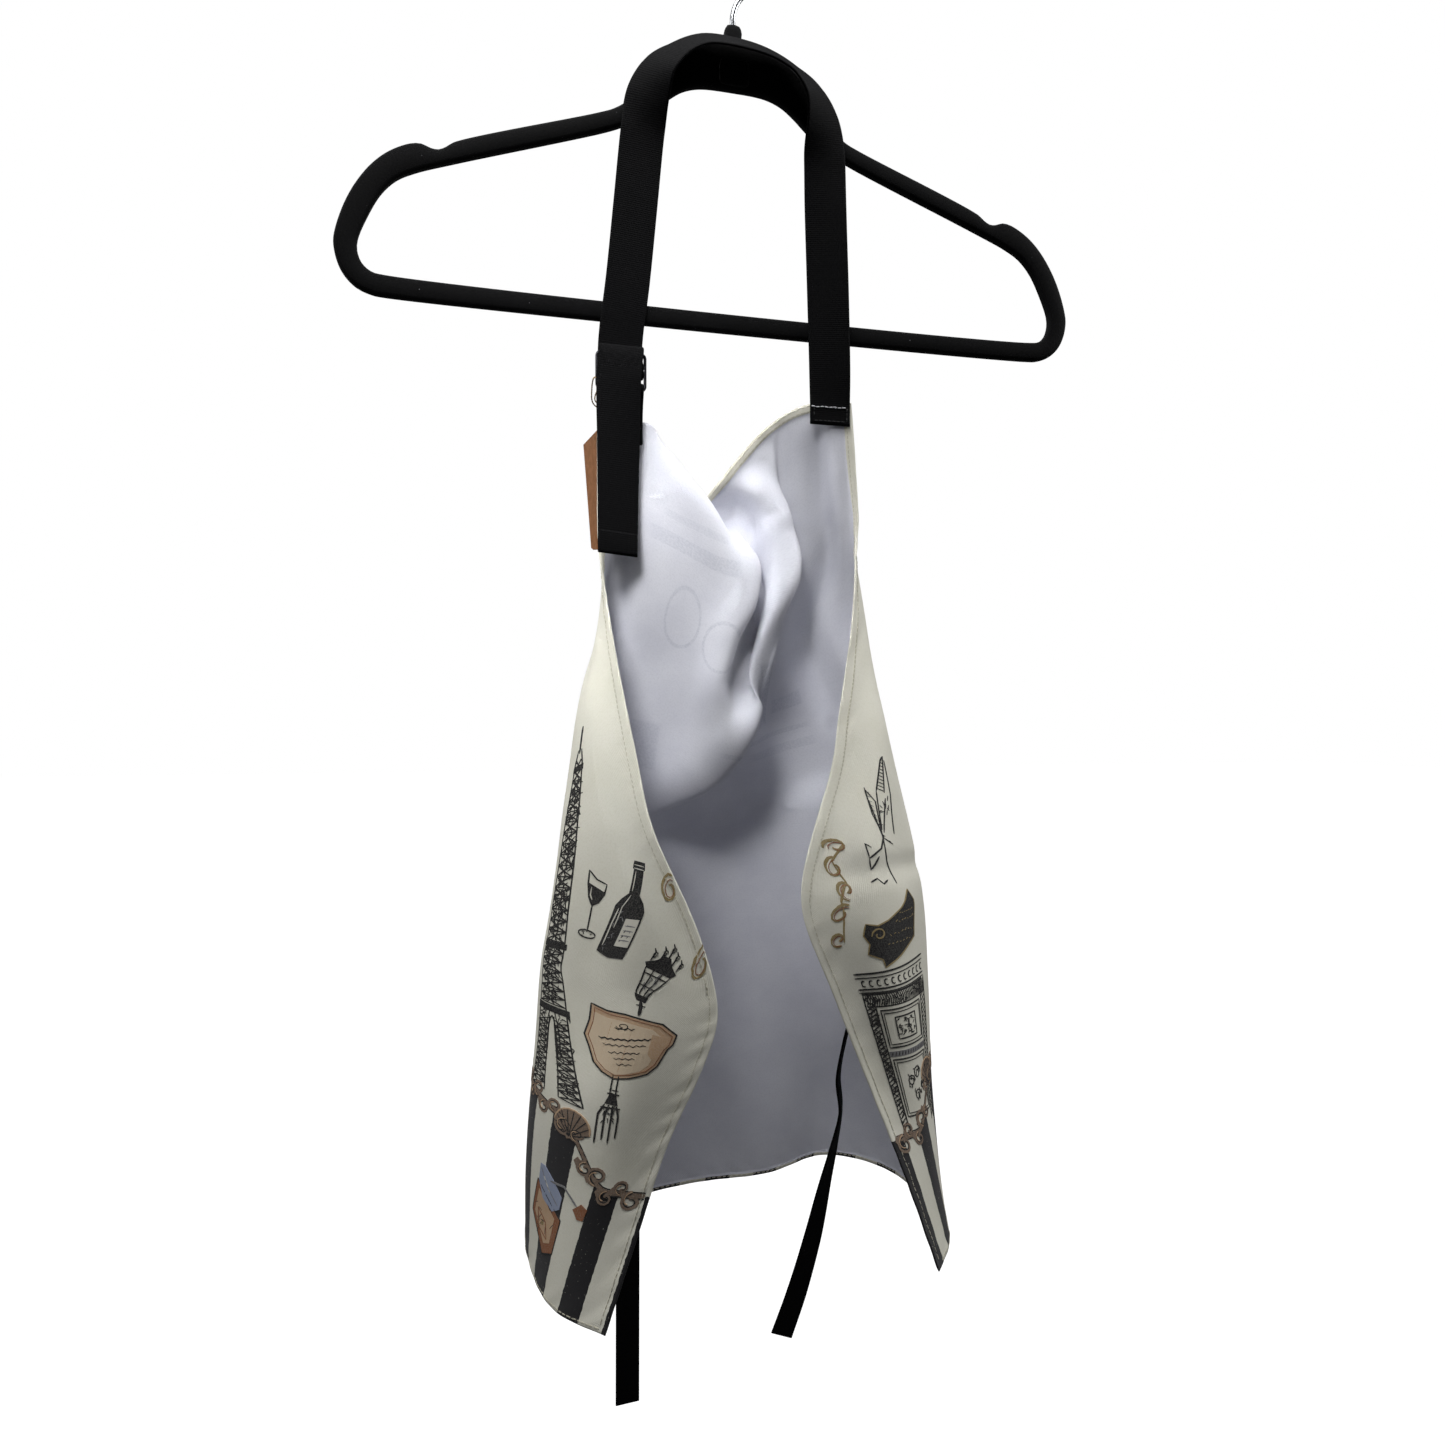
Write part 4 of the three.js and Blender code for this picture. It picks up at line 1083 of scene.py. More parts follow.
ACROSS = (1, 0, 0)
BACK_ACROSS = (-1, 0, 0)
STRAP = [
    (59.5, -4.8, -294, ACROSS), (59.5, -4.8, -282, ACROSS), (59, -5.8, -262, (0.995, -0.1, 0)),
    (57.5, -6.6, -215, (0.985, -0.17, 0)), (56, -6.5, -165, (0.985, -0.17, 0)),
    (55.5, -6.2, -134, (0.995, -0.1, 0)), (53.5, -9.2, -114, (0.86, 0.3, 0.42)),
    (46.5, -12.6, -99, (0.5, 0.62, 0.6)), (35, -13.4, -89, (0.2, 0.72, 0.6)),
    (20, -13.6, -82.4, crown(42)), (0, -13.9, -79.6, crown(42)), (-20, -13.6, -80.4, crown(42)),
    (-35, -13.4, -88, (-0.2, 0.72, 0.6)), (-46.5, -12.6, -99, (-0.5, 0.62, 0.6)),
    (-52.5, -9.2, -114, (-0.86, 0.3, 0.42)), (-55, -5.6, -134, BACK_ACROSS),
    (-59, -5.2, -175, BACK_ACROSS), (-63.5, -5.2, -220, BACK_ACROSS),
    (-66, -4.9, -240, BACK_ACROSS), (-66.8, -4.6, -246, BACK_ACROSS),
    (-67.8, -4.1, -258, BACK_ACROSS), (-68, -4.1, -268, BACK_ACROSS),
    (-68, -4.9, -272, BACK_ACROSS), (-68, -5.9, -274.6, BACK_ACROSS),
    (-68, -6.8, -276.7, BACK_ACROSS), (-68, -8.2, -277.2, BACK_ACROSS),
    (-68, -9.9, -276.2, BACK_ACROSS), (-68, -10.5, -273, BACK_ACROSS),
    (-68, -9.8, -270.2, BACK_ACROSS), (-68, -7.8, -268.1, BACK_ACROSS),
    (-68, -6.2, -265.5, BACK_ACROSS), (-68, -6.05, -263, BACK_ACROSS),
    (-68, -6.9, -260.7, BACK_ACROSS), (-68, -8.6, -259.9, BACK_ACROSS),
    (-68, -10.3, -260.7, BACK_ACROSS), (-68.3, -11.5, -263.5, BACK_ACROSS),
    (-69.3, -12.5, -269, BACK_ACROSS), (-70, -13.3, -278, BACK_ACROSS),
    (-70.3, -13.6, -292, (-0.99, -0.08, 0)), (-70.3, -13.7, -315, (-0.97, -0.2, 0)),
    (-70.6, -14.4, -345, (-0.95, -0.3, 0)), (-71, -15.6, -379, (-0.93, -0.36, 0))]
ANCHOR_X = -68
ANCHOR = [(ANCHOR_X, y, z, ACROSS) for y, z in (
    (-4.8, -314), (-4.8, -298), (-4.9, -293), (-5.7, -286), (-5.9, -282.6), (-7.1, -281),
    (-9.3, -281), (-10.5, -282.5), (-10.4, -285.6), (-8.9, -290), (-7.1, -298), (-6.9, -314))]
BUCKLE_Y = -8.2
TAIL_ACROSS = (0.93, 0.36, 0)
BUCKLE_HALF_W = 13.8
BUCKLE_SECTION = (1.6, 2.2)
BUCKLE_BARS = (-263.5, -273, -284)


def make_strap():
    tape("neck_strap_webbing", STRAP, STRAP_WIDTH, STRAP_THICK, 300, MATERIAL["strap"],
         "apron", ("neck_strap",))
    tape("buckle_anchor_webbing", ANCHOR, STRAP_WIDTH, STRAP_THICK, 110, MATERIAL["strap"],
         "apron", ("buckle_anchor",))


def make_buckle():
    """A cast slide: a rounded frame with a middle bar that carries fine ridges."""
    corner = 2.4
    top, middle, low = BUCKLE_BARS
    path = []
    for cx, cz, start in ((BUCKLE_HALF_W, top, 0), (-BUCKLE_HALF_W, top, 90),
                          (-BUCKLE_HALF_W, low, 180), (BUCKLE_HALF_W, low, 270)):
        x = cx - math.copysign(corner, cx)
        z = cz - (corner if cz == top else -corner)
        for degree in range(0, 91, 15):
            turn = math.radians(start + degree)
            path.append((ANCHOR_X + x + corner * math.cos(turn), z + corner * math.sin(turn)))
    path = np.array(path)
    along = along_loop(path)
    out = np.stack([along[:, 1], -along[:, 0]], axis=1)
    wide, deep = BUCKLE_SECTION
    vertices = []
    sides = 16
    for point, away in zip(path, out):
        for j in range(sides):
            turn = 2 * math.pi * j / sides
            a = math.copysign(abs(math.cos(turn)) ** 0.55, math.cos(turn)) * wide / 2
            b = math.copysign(abs(math.sin(turn)) ** 0.55, math.sin(turn)) * deep / 2
            vertices.append((point[0] + away[0] * a, BUCKLE_Y + b, point[1] + away[1] * a))
    faces = flipped(walls(sides, len(path), closed=True))
    half = BUCKLE_HALF_W - 0.6
    ridges = 36
    at = np.array([(ANCHOR_X - half + 2 * half * k / ridges, BUCKLE_Y, middle)
                   for k in range(ridges + 1)])
    radius = [1.28 + 0.1 * (k % 2) for k in range(ridges + 1)]
    bar = tube_mesh(at, np.array([(1.0, 0, 0)] * len(at)), radius, 14)
    vertices, faces = join_parts([(vertices, faces), bar])
    make_piece("slide_buckle_cast", np.array(vertices) * MM, faces, MATERIAL["buckle"],
               "apron", ("slide_buckle",))


def seam_line(corners, y, wobble):
    """Points of a hand-straight seam between corners (x, z) at a depth y."""
    points = []
    for (x0, z0), (x1, z1) in zip(corners, corners[1:]):
        count = max(2, round(math.hypot(x1 - x0, z1 - z0) / 1.5))
        for k in range(count):
            t = k / count
            away = wobble * math.sin(0.9 * (x0 + (x1 - x0) * t) + 0.7 * (z0 + (z1 - z0) * t))
            points.append((x0 + (x1 - x0) * t, y, z0 + (z1 - z0) * t + away))
    points.append((corners[-1][0], y, corners[-1][1]))
    return points


def make_seam(name, lines, radius, thread, body, nodes=(), facing=(0, -1, 0)):
    parts = [part for points in lines for part in stitches(points, facing, radius)]
    vertices, faces = join_parts(parts)
    return make_piece(name, np.array(vertices) * MM, faces, MATERIAL[thread], body,
                      nodes)


STRAP_END_Y = -4.8
ANCHOR_FRONT_Y = -6.9
THREAD_OFF = 0.08


def make_strap_seams():
    """The white row and the black box on the strap's end, the anchor's box and the tail's rows."""
    front = STRAP_END_Y - STRAP_THICK / 2 - THREAD_OFF
    right = [(47.2, -283.8), (72, -283.4)]
    low = [(49, -292), (70, -291.8)]
    box = [(49, -283.8), (49, -292)]
    other = [(70, -283.4), (70, -291.8)]
    make_seam("strap_end_seam", [seam_line(right, front, 0.22)], 0.34, "white_thread", "apron",
              ("strap_stitching",))
    make_seam("strap_end_box_seam", [seam_line(line, front, 0.05) for line in (low, box, other)],
              0.24, "black_thread", "apron")
    front = ANCHOR_FRONT_Y - STRAP_THICK / 2 - THREAD_OFF
    frame_corners = [(-78.3, -299.5), (-57.7, -299.5), (-57.7, -311.5), (-78.3, -311.5),
                     (-78.3, -299.5)]
    make_seam("anchor_seam", [seam_line(frame_corners, front, 0.05)], 0.24, "black_thread",
              "apron", ("anchor_stitching",))
    tail = [[(-71 + x * TAIL_ACROSS[0], -16.5 + x * TAIL_ACROSS[1], z)
             for x in np.arange(-10.6, 10.8, 1.4)] for z in (-369.2, -371.4)]
    make_seam("strap_tail_seam", tail, 0.24, "black_thread", "apron", ("tail_stitching",),
              facing=(0.35, -0.93, 0))


def make_tail_hem():
    """The strap's free end is turned up once, which makes a short second layer."""
    across = (-TAIL_ACROSS[0], -TAIL_ACROSS[1], 0)
    stations = [(-71, -17.2, -378.2, across), (-70.95, -17.3, -374, across),
                (-70.9, -17, -366.6, across)]
    tape("strap_tail_turn", stations, STRAP_WIDTH - 0.6, 0.9, 16, MATERIAL["strap"],
         "apron", ())


# ---------------------------------------------------------------- tag

TAG_X = -66
TAG_Y = 20
TAG_TOP = -297
TAG_LEAN = math.radians(4.2)
TAG_WIDTH = 40
TAG_HEIGHT = 73
TAG_CHAMFER = 11
TAG_EYE = 2
TAG_EYE_Z = TAG_TOP - 7
TAG_EYE_SIDES = 24
TAG_THICK = 0.45


def leaning(x, y, z):
    """A point of the upright tag where it hangs, turned a little about its eye."""
    across, down = x - TAG_X, z - TAG_EYE_Z
    return (TAG_X + across * math.cos(TAG_LEAN) - down * math.sin(TAG_LEAN), y,
            TAG_EYE_Z + across * math.sin(TAG_LEAN) + down * math.cos(TAG_LEAN))


def tag_depth(x, z):
    """The depth of the card's middle, which bows a little and is creased below its cut corners."""
    fold = 0.0875 * max(0.0, z - (TAG_TOP - TAG_CHAMFER + 0.6))
    return TAG_Y + 0.9 * math.cos((x - TAG_X) / 22) + 0.5 * math.sin(z / 26) - 0.9 + fold


def make_tag():
    """A kraft card with cut corners, bowed a little, with a round eye."""
    left, right = TAG_X - TAG_WIDTH / 2, TAG_X + TAG_WIDTH / 2
    low = TAG_TOP - TAG_HEIGHT
    outline = [(left + TAG_CHAMFER, TAG_TOP), (left, TAG_TOP - TAG_CHAMFER), (left, low + 1.2),
               (left + 1.2, low), (right - 1.2, low), (right, low + 1.2),
               (right, TAG_TOP - TAG_CHAMFER), (right - TAG_CHAMFER, TAG_TOP)]
    dense = []
    for (x0, z0), (x1, z1) in zip(outline, outline[1:] + outline[:1]):
        count = max(1, round(math.hypot(x1 - x0, z1 - z0) / 3))
        dense.extend((x0 + (x1 - x0) * k / count, z0 + (z1 - z0) * k / count)
                     for k in range(count))
    turns = [2 * math.pi * k / TAG_EYE_SIDES for k in range(TAG_EYE_SIDES)]
    eye = [(TAG_X + TAG_EYE * math.cos(turn), TAG_EYE_Z + TAG_EYE * math.sin(turn))
           for turn in turns]
    inner = [(x, z) for x in np.arange(left + 4, right - 2, 4)
             for z in np.arange(low + 4, TAG_TOP - 12, 4)]
    places, kept = triangulate([dense, eye], inner)
    size = len(places)
    vertices = [leaning(x, tag_depth(x, z) + side * TAG_THICK / 2, z)
                for side in (-1, 1) for x, z in places]
    faces = kept + [(size + a, size + c, size + b) for a, b, c in kept] + rim_faces(kept, size)
    make_piece("kraft_swing_tag", np.array(vertices) * MM, faces, MATERIAL["card"], "tag",
               ("hang_tag",), smooth=False)


def make_tag_string():
    """Two strands twisted together, looped through the eye and round the buckle's side."""
    side = ANCHOR_X - BUCKLE_HALF_W
    path = [
        (TAG_X, TAG_Y - 1.6, TAG_EYE_Z), (TAG_X - 1, TAG_Y - 2, TAG_TOP - 1),
        (TAG_X - 6, TAG_Y - 7, TAG_TOP + 6), (side + 1, 6, -287), (side + 1.9, -1.5, -281.4),
        (side + 1.7, -5.2, -279.6), (side + 1.7, -8.2, -279.2), (side + 1.3, -10.1, -279.1),
        (side, -10.6, -279), (side - 1.5, -10.1, -279.1), (side - 1.9, -8.2, -279.2),
        (side - 1.9, -5.2, -279.6), (side - 1.8, -1, -282.5), (side, 7, -288.5),
        (TAG_X - 5, TAG_Y - 4, TAG_TOP + 5), (TAG_X + 0.4, TAG_Y + 1, TAG_TOP + 1.4),
        (TAG_X + 0.6, TAG_Y + 2, TAG_TOP - 3), (TAG_X + 0.2, TAG_Y + 1.6, TAG_EYE_Z)]
    loop = closed_curve(path, 0.7)
    tangent = along_loop(loop)
    parts = []
    for phase in (0.0, math.pi):
        normal = np.cross(tangent[0], [0.31, 0.9, 0.3])
        strand = []
        turns = round(len(loop) * 0.7 / 2.4)
        for k, along in enumerate(tangent):
            normal = normal - along * normal.dot(along)
            normal /= np.linalg.norm(normal)
            other = np.cross(along, normal)
            turn = phase + 2 * math.pi * turns * k / len(loop)
            strand.append(loop[k] + (normal * math.cos(turn) + other * math.sin(turn)) * 0.22)
        parts.append(tube_mesh(np.array(strand), tangent, 0.27, 8, closed=True))
    vertices, faces = join_parts(parts)
    make_piece("jute_tag_string", np.array(vertices) * MM, faces, MATERIAL["jute"], "tag",
               ("tag_string",))


# ---------------------------------------------------------------- print

FILM = 0.14
FILM_STEP = 0.05
SUNK = 0.04


class Pen:
    """Draws the print as a thin film of ink on the cloth's printed face.

    A frame is four flat places; points inside it run from 0 to 1 to the right and up."""

    def __init__(self, cloth, side=-1, base=CLOTH_THICK / 2):
        self.cloth = cloth
        self.side = side
        self.base = base
        self.films = {}
        self.corners = [np.array(c, float) for c in ((0, 0), (1, 0), (1, 1), (0, 1))]

    def frame(self, *corners):
        self.corners = [np.array(corner, float) for corner in corners]

    def flat(self, point):
        a, b, c, d = self.corners
        x, y = point
        return (a * (1 - x) + b * x) * (1 - y) + (d * (1 - x) + c * x) * y

    def outer(self, place, layer):
        lift = self.base + FILM + FILM_STEP * layer
        return self.cloth.at(place[0], place[1], self.side * lift)

    def under(self, place):
        return self.cloth.at(place[0], place[1], self.side * (self.base - SUNK))

    def dense(self, points, step, closed=False):
        """Flat places along the points, no further apart than a step in mm."""
        flat = [self.flat(p) for p in points]
        if closed:
            flat.append(flat[0])
        found = []
        for a, b in zip(flat, flat[1:]):
            count = max(1, math.ceil(np.linalg.norm(b - a) / step))
            found.extend(a + (b - a) * (k / count) for k in range(count))
        return found if closed else found + [flat[-1]]

    def stroke(self, ink, points, width, layer=2):
        """A pen line with tapered ends."""
        way = np.array(self.dense(points, 2.4))
        along = np.gradient(way, axis=0)
        along /= np.linalg.norm(along, axis=1)[:, None] + 1e-9
        left = np.stack([-along[:, 1], along[:, 0]], axis=1)
        half = np.full(len(way), width / 2)
        half[0] *= 0.45
        half[-1] *= 0.45
        vertices = []
        for place, side, reach in zip(way, left, half):
            a, b = place + side * reach, place - side * reach
            vertices += [self.outer(a, layer), self.outer(b, layer), self.under(b),
                         self.under(a)]
        faces = [(0, 1, 2, 3)]
        for k in range(0, len(vertices) - 4, 4):
            faces.extend((k + j, k + 4 + j, k + 4 + (j + 1) % 4, k + (j + 1) % 4)
                         for j in range(4))
        last = len(vertices) - 4
        faces.append((last + 3, last + 2, last + 1, last))
        if self.side > 0:
            faces = [tuple(reversed(face)) for face in faces]
        self.films.setdefault(ink, []).append((vertices, faces))

    def fill(self, ink, points, layer=0):
        """A closed shape filled with ink."""
        edge = self.dense(points, 2, closed=True)
        low, high = np.min(edge, axis=0), np.max(edge, axis=0)
        inner = [(x, y) for x in np.arange(low[0] + 1, high[0], 2.4)
                 for y in np.arange(low[1] + 1, high[1], 2.4)
                 if within((x, y), np.array(edge))]
        places, kept = triangulate([edge], inner)
        size = len(places)
        vertices = [self.under(p) for p in places] + [self.outer(p, layer) for p in places]
        faces = kept + [(size + a, size + c, size + b) for a, b, c in kept]
        self.films.setdefault(ink, []).append((vertices, faces + rim_faces(kept, size)))

    def outline(self, ink, points, width, layer=2):
        self.stroke(ink, list(points) + [points[0]], width, layer)

    def done(self, prefix="print_", materials="ink_"):
        for ink, films in self.films.items():
            vertices, faces = join_parts(films)
            make_piece(prefix + ink, np.array(vertices) * MM, faces,
                       MATERIAL[materials + ink], "apron", smooth=False)


def arc(x, y, wide, tall, start, end, count=9):
    """Points of part of an ellipse, from a start to an end angle in degrees."""
    turns = [math.radians(start + (end - start) * k / (count - 1)) for k in range(count)]
    return [(x + wide * math.cos(turn), y + tall * math.sin(turn)) for turn in turns]


def spiral(x, y, wide, tall, start, end, count=13):
    """Points of a curl that tightens to a third of its size."""
    points = []
    for k in range(count):
        share = k / (count - 1)
        turn = math.radians(start + (end - start) * share)
        size = 1 - 0.7 * share
        points.append((x + wide * size * math.cos(turn), y + tall * size * math.sin(turn)))
    return points


def scribble(pen, ink, box, count, length, width, draw):
    """Short pen marks at random places of a box (x0, y0, x1, y1)."""
    x0, y0, x1, y1 = box
    for _ in range(count):
        x, y = draw.uniform(x0, x1), draw.uniform(y0, y1)
        turn = draw.uniform(0, math.pi)
        dx, dy = length[0] * math.cos(turn), length[1] * math.sin(turn)
        pen.stroke(ink, [(x - dx, y - dy), (x + dx * 0.2, y + dy * 0.4), (x + dx, y + dy)],
                   width)


TOWER_EDGES = [(0, 0.0, 1.0), (0.12, 0.06, 0.92), (0.3, 0.1, 0.86), (0.5, 0.14, 0.84),
               (0.8, 0.24, 0.76), (0.92, 0.3, 0.7), (0.94, 0.42, 0.6)]


def draw_tower(pen, draw):
    """A tall iron lattice tower, sketched in ink."""
    heights = [row[0] for row in TOWER_EDGES]

    def edge(y, side):
        return float(np.interp(y, heights, [row[side] for row in TOWER_EDGES]))

    for side in (1, 2):
        pen.stroke("black", [(edge(y, side), y) for y in np.linspace(0, 0.94, 28)], 0.9)
    pen.stroke("black", [(0.5, 0.93), (0.5, 1.0)], 1.3)
    levels = list(np.arange(0.29, 0.92, 0.026))
    for low, high in zip(levels, levels[1:]):
        left, right = edge(low, 1), edge(low, 2)
        pen.stroke("black", [(left, low), (edge(high, 2), high)], 0.75)
        pen.stroke("black", [(right, low), (edge(high, 1), high)], 0.75)
        pen.stroke("black", [(left, low), (right, low)], 0.6)
        middle = (left + right) / 2
        for shift in (-0.12, 0.12):
            pen.stroke("black", [(middle + shift, low), (middle - shift, high)], 0.6)
    for low, high in ((0.262, 0.284), (0.455, 0.47), (0.885, 0.9)):
        left, right = edge(low, 1) - 0.06, edge(low, 2) + 0.06
        pen.fill("black", [(left, low), (right, low), (right, high), (left, high)])
    for inner, side in (((0.40, 0.46), 1), ((0.66, 0.58), 2)):
        pen.stroke("black", [(inner[0], 0), (inner[0], 0.08), (inner[1], 0.25)], 0.8)
        rungs = np.linspace(0, 0.24, 13)
        for low, high in zip(rungs, rungs[1:]):
            a = float(np.interp(low, (0, 0.24), inner))
            b = float(np.interp(high, (0, 0.24), inner))
            pen.stroke("black", [(edge(low, side), low), (b, high)], 0.7)
            pen.stroke("black", [(a, low), (edge(high, side), high)], 0.7)
            pen.stroke("black", [(a, low), (edge(low, side), low)], 0.55)
    pen.stroke("black", arc(0.53, 0.12, 0.13, 0.13, 180, 0), 1.1)
    pen.stroke("black", arc(0.53, 0.12, 0.19, 0.155, 180, 0), 0.7)
    scribble(pen, "black", (0.22, 0.3, 0.78, 0.86), 240, (0.09, 0.01), 0.6, draw)
    scribble(pen, "black", (0.04, 0.02, 0.38, 0.26), 60, (0.06, 0.008), 0.6, draw)
    scribble(pen, "black", (0.68, 0.02, 0.94, 0.26), 60, (0.05, 0.008), 0.6, draw)


def draw_glass(pen, draw):
    bowl = [(0.08, 1.0), (0.1, 0.8), (0.24, 0.62), (0.46, 0.52), (0.72, 0.6), (0.92, 0.76),
            (0.98, 0.94)]
    pen.stroke("black", bowl, 0.7)
    pen.stroke("black", [(0.08, 1.0), (0.5, 0.93), (0.98, 0.94)], 0.55)
    pen.fill("black", [(0.13, 0.82), (0.93, 0.8), (0.78, 0.64), (0.5, 0.53), (0.26, 0.62)])
    pen.stroke("cream", [(0.3, 0.78), (0.3, 0.66), (0.42, 0.6)], 0.5, layer=3)
    pen.stroke("black", [(0.47, 0.53), (0.5, 0.1)], 0.7)
    pen.stroke("black", arc(0.5, 0.07, 0.46, 0.06, 0, 360, 14), 0.6)
    scribble(pen, "black", (0.2, 0.02, 0.8, 0.1), 5, (0.12, 0.01), 0.4, draw)


def draw_bottle(pen, draw):
    shape = [(0.04, 0.03), (0.5, 0.0), (0.96, 0.03), (0.97, 0.52), (0.86, 0.6), (0.67, 0.67),
             (0.66, 0.92), (0.7, 0.93), (0.69, 1.0), (0.33, 1.0), (0.32, 0.93), (0.36, 0.92),
             (0.35, 0.67), (0.16, 0.6), (0.03, 0.52)]
    pen.fill("black", shape)
    pen.outline("black", shape, 0.5)
    pen.fill("cream", [(0.5, 0.13), (0.93, 0.15), (0.93, 0.44), (0.5, 0.42)], layer=1)
    for y in (0.2, 0.25, 0.3, 0.35):
        pen.stroke("grey", [(0.56, y), (0.72, y + 0.008), (0.88, y + 0.012)], 0.55)
    pen.stroke("cream", [(0.13, 0.1), (0.12, 0.34), (0.16, 0.5)], 0.55)
    pen.stroke("cream", [(0.24, 0.3), (0.25, 0.52), (0.42, 0.66)], 0.45)
    pen.stroke("cream", [(0.42, 0.7), (0.42, 0.9)], 0.45)
    pen.stroke("cream", [(0.34, 0.93), (0.68, 0.93)], 0.4)
    pen.stroke("cream", [(0.34, 0.965), (0.68, 0.965)], 0.35)
    scribble(pen, "grey", (0.12, 0.06, 0.44, 0.5), 14, (0.05, 0.02), 0.4, draw)


def draw_lamp(pen, draw):
    """A street lantern on its post, with a curled iron crown."""
    pen.fill("black", [(0.12, 0.72), (0.88, 0.72), (0.98, 0.78), (0.72, 0.86), (0.6, 0.94),
                       (0.4, 0.94), (0.28, 0.86), (0.02, 0.78)])
    for x, top in ((0.12, 0.98), (0.34, 1.05), (0.52, 1.12), (0.7, 1.05), (0.9, 0.98)):
        pen.stroke("black", [(x, 0.82), (x + 0.03, top - 0.04), (x - 0.03, top)], 0.9)
        pen.stroke("black", spiral(x + 0.05, top - 0.08, 0.07, 0.05, 0, 420, 9), 0.5)
    for x, y in ((0.1, 0.36), (0.34, 0.44), (0.62, 0.56), (0.88, 0.64)):
        pen.stroke("black", [(x, 0.73), (y, 0.34)], 0.75)
    pen.stroke("black", [(0.15, 0.66), (0.85, 0.66)], 0.5)
    pen.stroke("black", [(0.24, 0.5), (0.76, 0.5)], 0.4)
    pen.fill("black", [(0.3, 0.36), (0.7, 0.36), (0.62, 0.26), (0.38, 0.26)])
    pen.stroke("black", [(0.5, 0.28), (0.51, 0.16), (0.49, 0.0)], 1.7)
    pen.stroke("black", [(0.38, 0.18), (0.64, 0.2)], 0.9)
    scribble(pen, "grey", (0.35, 0.4, 0.68, 0.7), 10, (0.05, 0.06), 0.4, draw)


PAPER = [(0.09, 1.0), (0.27, 0.93), (0.45, 0.9), (0.64, 0.83), (0.84, 0.75), (1.0, 0.56),
         (0.96, 0.42), (0.9, 0.36), (0.8, 0.14), (0.69, 0.05), (0.5, 0.01), (0.34, 0.0),
         (0.22, 0.08), (0.12, 0.2), (0.06, 0.4), (0.0, 0.56), (0.06, 0.78)]


def draw_paper(pen, draw):
    """A shield of tan paper with a pale middle and plain scribbled lines."""
    pen.fill("tan", PAPER)
    pale = [(0.5 + (x - 0.5) * 0.82 - 0.05, 0.46 + (y - 0.48) * 0.84) for x, y in PAPER]
    pen.fill("paper", pale, layer=1)
    pen.fill("tan", [(0.72, 0.62), (0.86, 0.56), (0.9, 0.42), (0.76, 0.18), (0.68, 0.34)],
             layer=2)
    pen.outline("black", PAPER, 0.95)
    pen.outline("brown", [(0.5 + (x - 0.5) * 0.9, 0.48 + (y - 0.48) * 0.9)
                          for x, y in PAPER], 0.4, layer=3)
    for y, half, width in ((0.7, 0.1, 0.7), (0.55, 0.27, 1.0), (0.46, 0.22, 0.6),
                           (0.36, 0.16, 0.6), (0.28, 0.11, 0.45), (0.2, 0.08, 0.45)):
        count = max(3, round(half * 60))
        line = [(0.44 + half * (2 * k / count - 1),
                 y + 0.012 * (-1) ** k * draw.uniform(0.5, 1.3)) for k in range(count + 1)]
        pen.stroke("black", line, width, layer=3)
    pen.stroke("black", spiral(0.42, 0.74, 0.07, 0.05, 180, 640), 0.45, layer=3)


def draw_post_foot(pen, draw):
    """The foot of the lamp post: a turned stem over four splayed feet."""
    for x in (0.4, 0.62):
        pen.stroke("black", [(x, 1.0), (x - 0.01, 0.84), (x, 0.7)], 0.7)
    pen.stroke("black", [(0.3, 0.72), (0.76, 0.72)], 1.3)
    pen.stroke("black", [(0.34, 0.78), (0.7, 0.78)], 0.6)
    pen.fill("black", [(0.38, 0.7), (0.66, 0.7), (0.78, 0.56), (0.26, 0.56)])
    pen.stroke("black", [(0.14, 0.5), (0.9, 0.52)], 1.1)
    for x, low in ((0.1, 0.0), (0.36, 0.06), (0.62, 0.03), (0.88, 0.1)):
        pen.stroke("black", [(x * 0.6 + 0.22, 0.55), (x, 0.4), (x + 0.03, low)], 1.0)
    pen.stroke("grey", [(0.28, 0.42), (0.72, 0.44)], 0.5)
    scribble(pen, "black", (0.2, 0.3, 0.8, 0.55), 12, (0.05, 0.04), 0.45, draw)


def draw_scroll(pen):
    """A gold scroll of linked curls."""
    for x, y, wide, tall, start, end in (
            (0.55, 0.93, 0.42, 0.07, 200, -160), (0.4, 0.74, 0.38, 0.1, 90, 430),
            (0.62, 0.55, 0.36, 0.1, 270, -80), (0.4, 0.33, 0.4, 0.1, 60, 420),
            (0.62, 0.09, 0.38, 0.08, 300, -60)):
        pen.stroke("gold", spiral(x, y, wide, tall, start, end), 1.2)
        pen.stroke("brown", spiral(x + 0.05, y - 0.01, wide * 0.8, tall * 0.8, start, end),
                   0.4, layer=3)
    pen.stroke("gold", [(0.8, 0.95), (0.35, 0.8), (0.7, 0.62), (0.3, 0.45), (0.65, 0.25),
                        (0.9, 0.05)], 1.0)


def draw_curl(pen):
    pen.stroke("gold", spiral(0.5, 0.5, 0.5, 0.5, 60, 460), 1.2)
    pen.stroke("brown", spiral(0.55, 0.48, 0.36, 0.36, 60, 400), 0.4, layer=3)


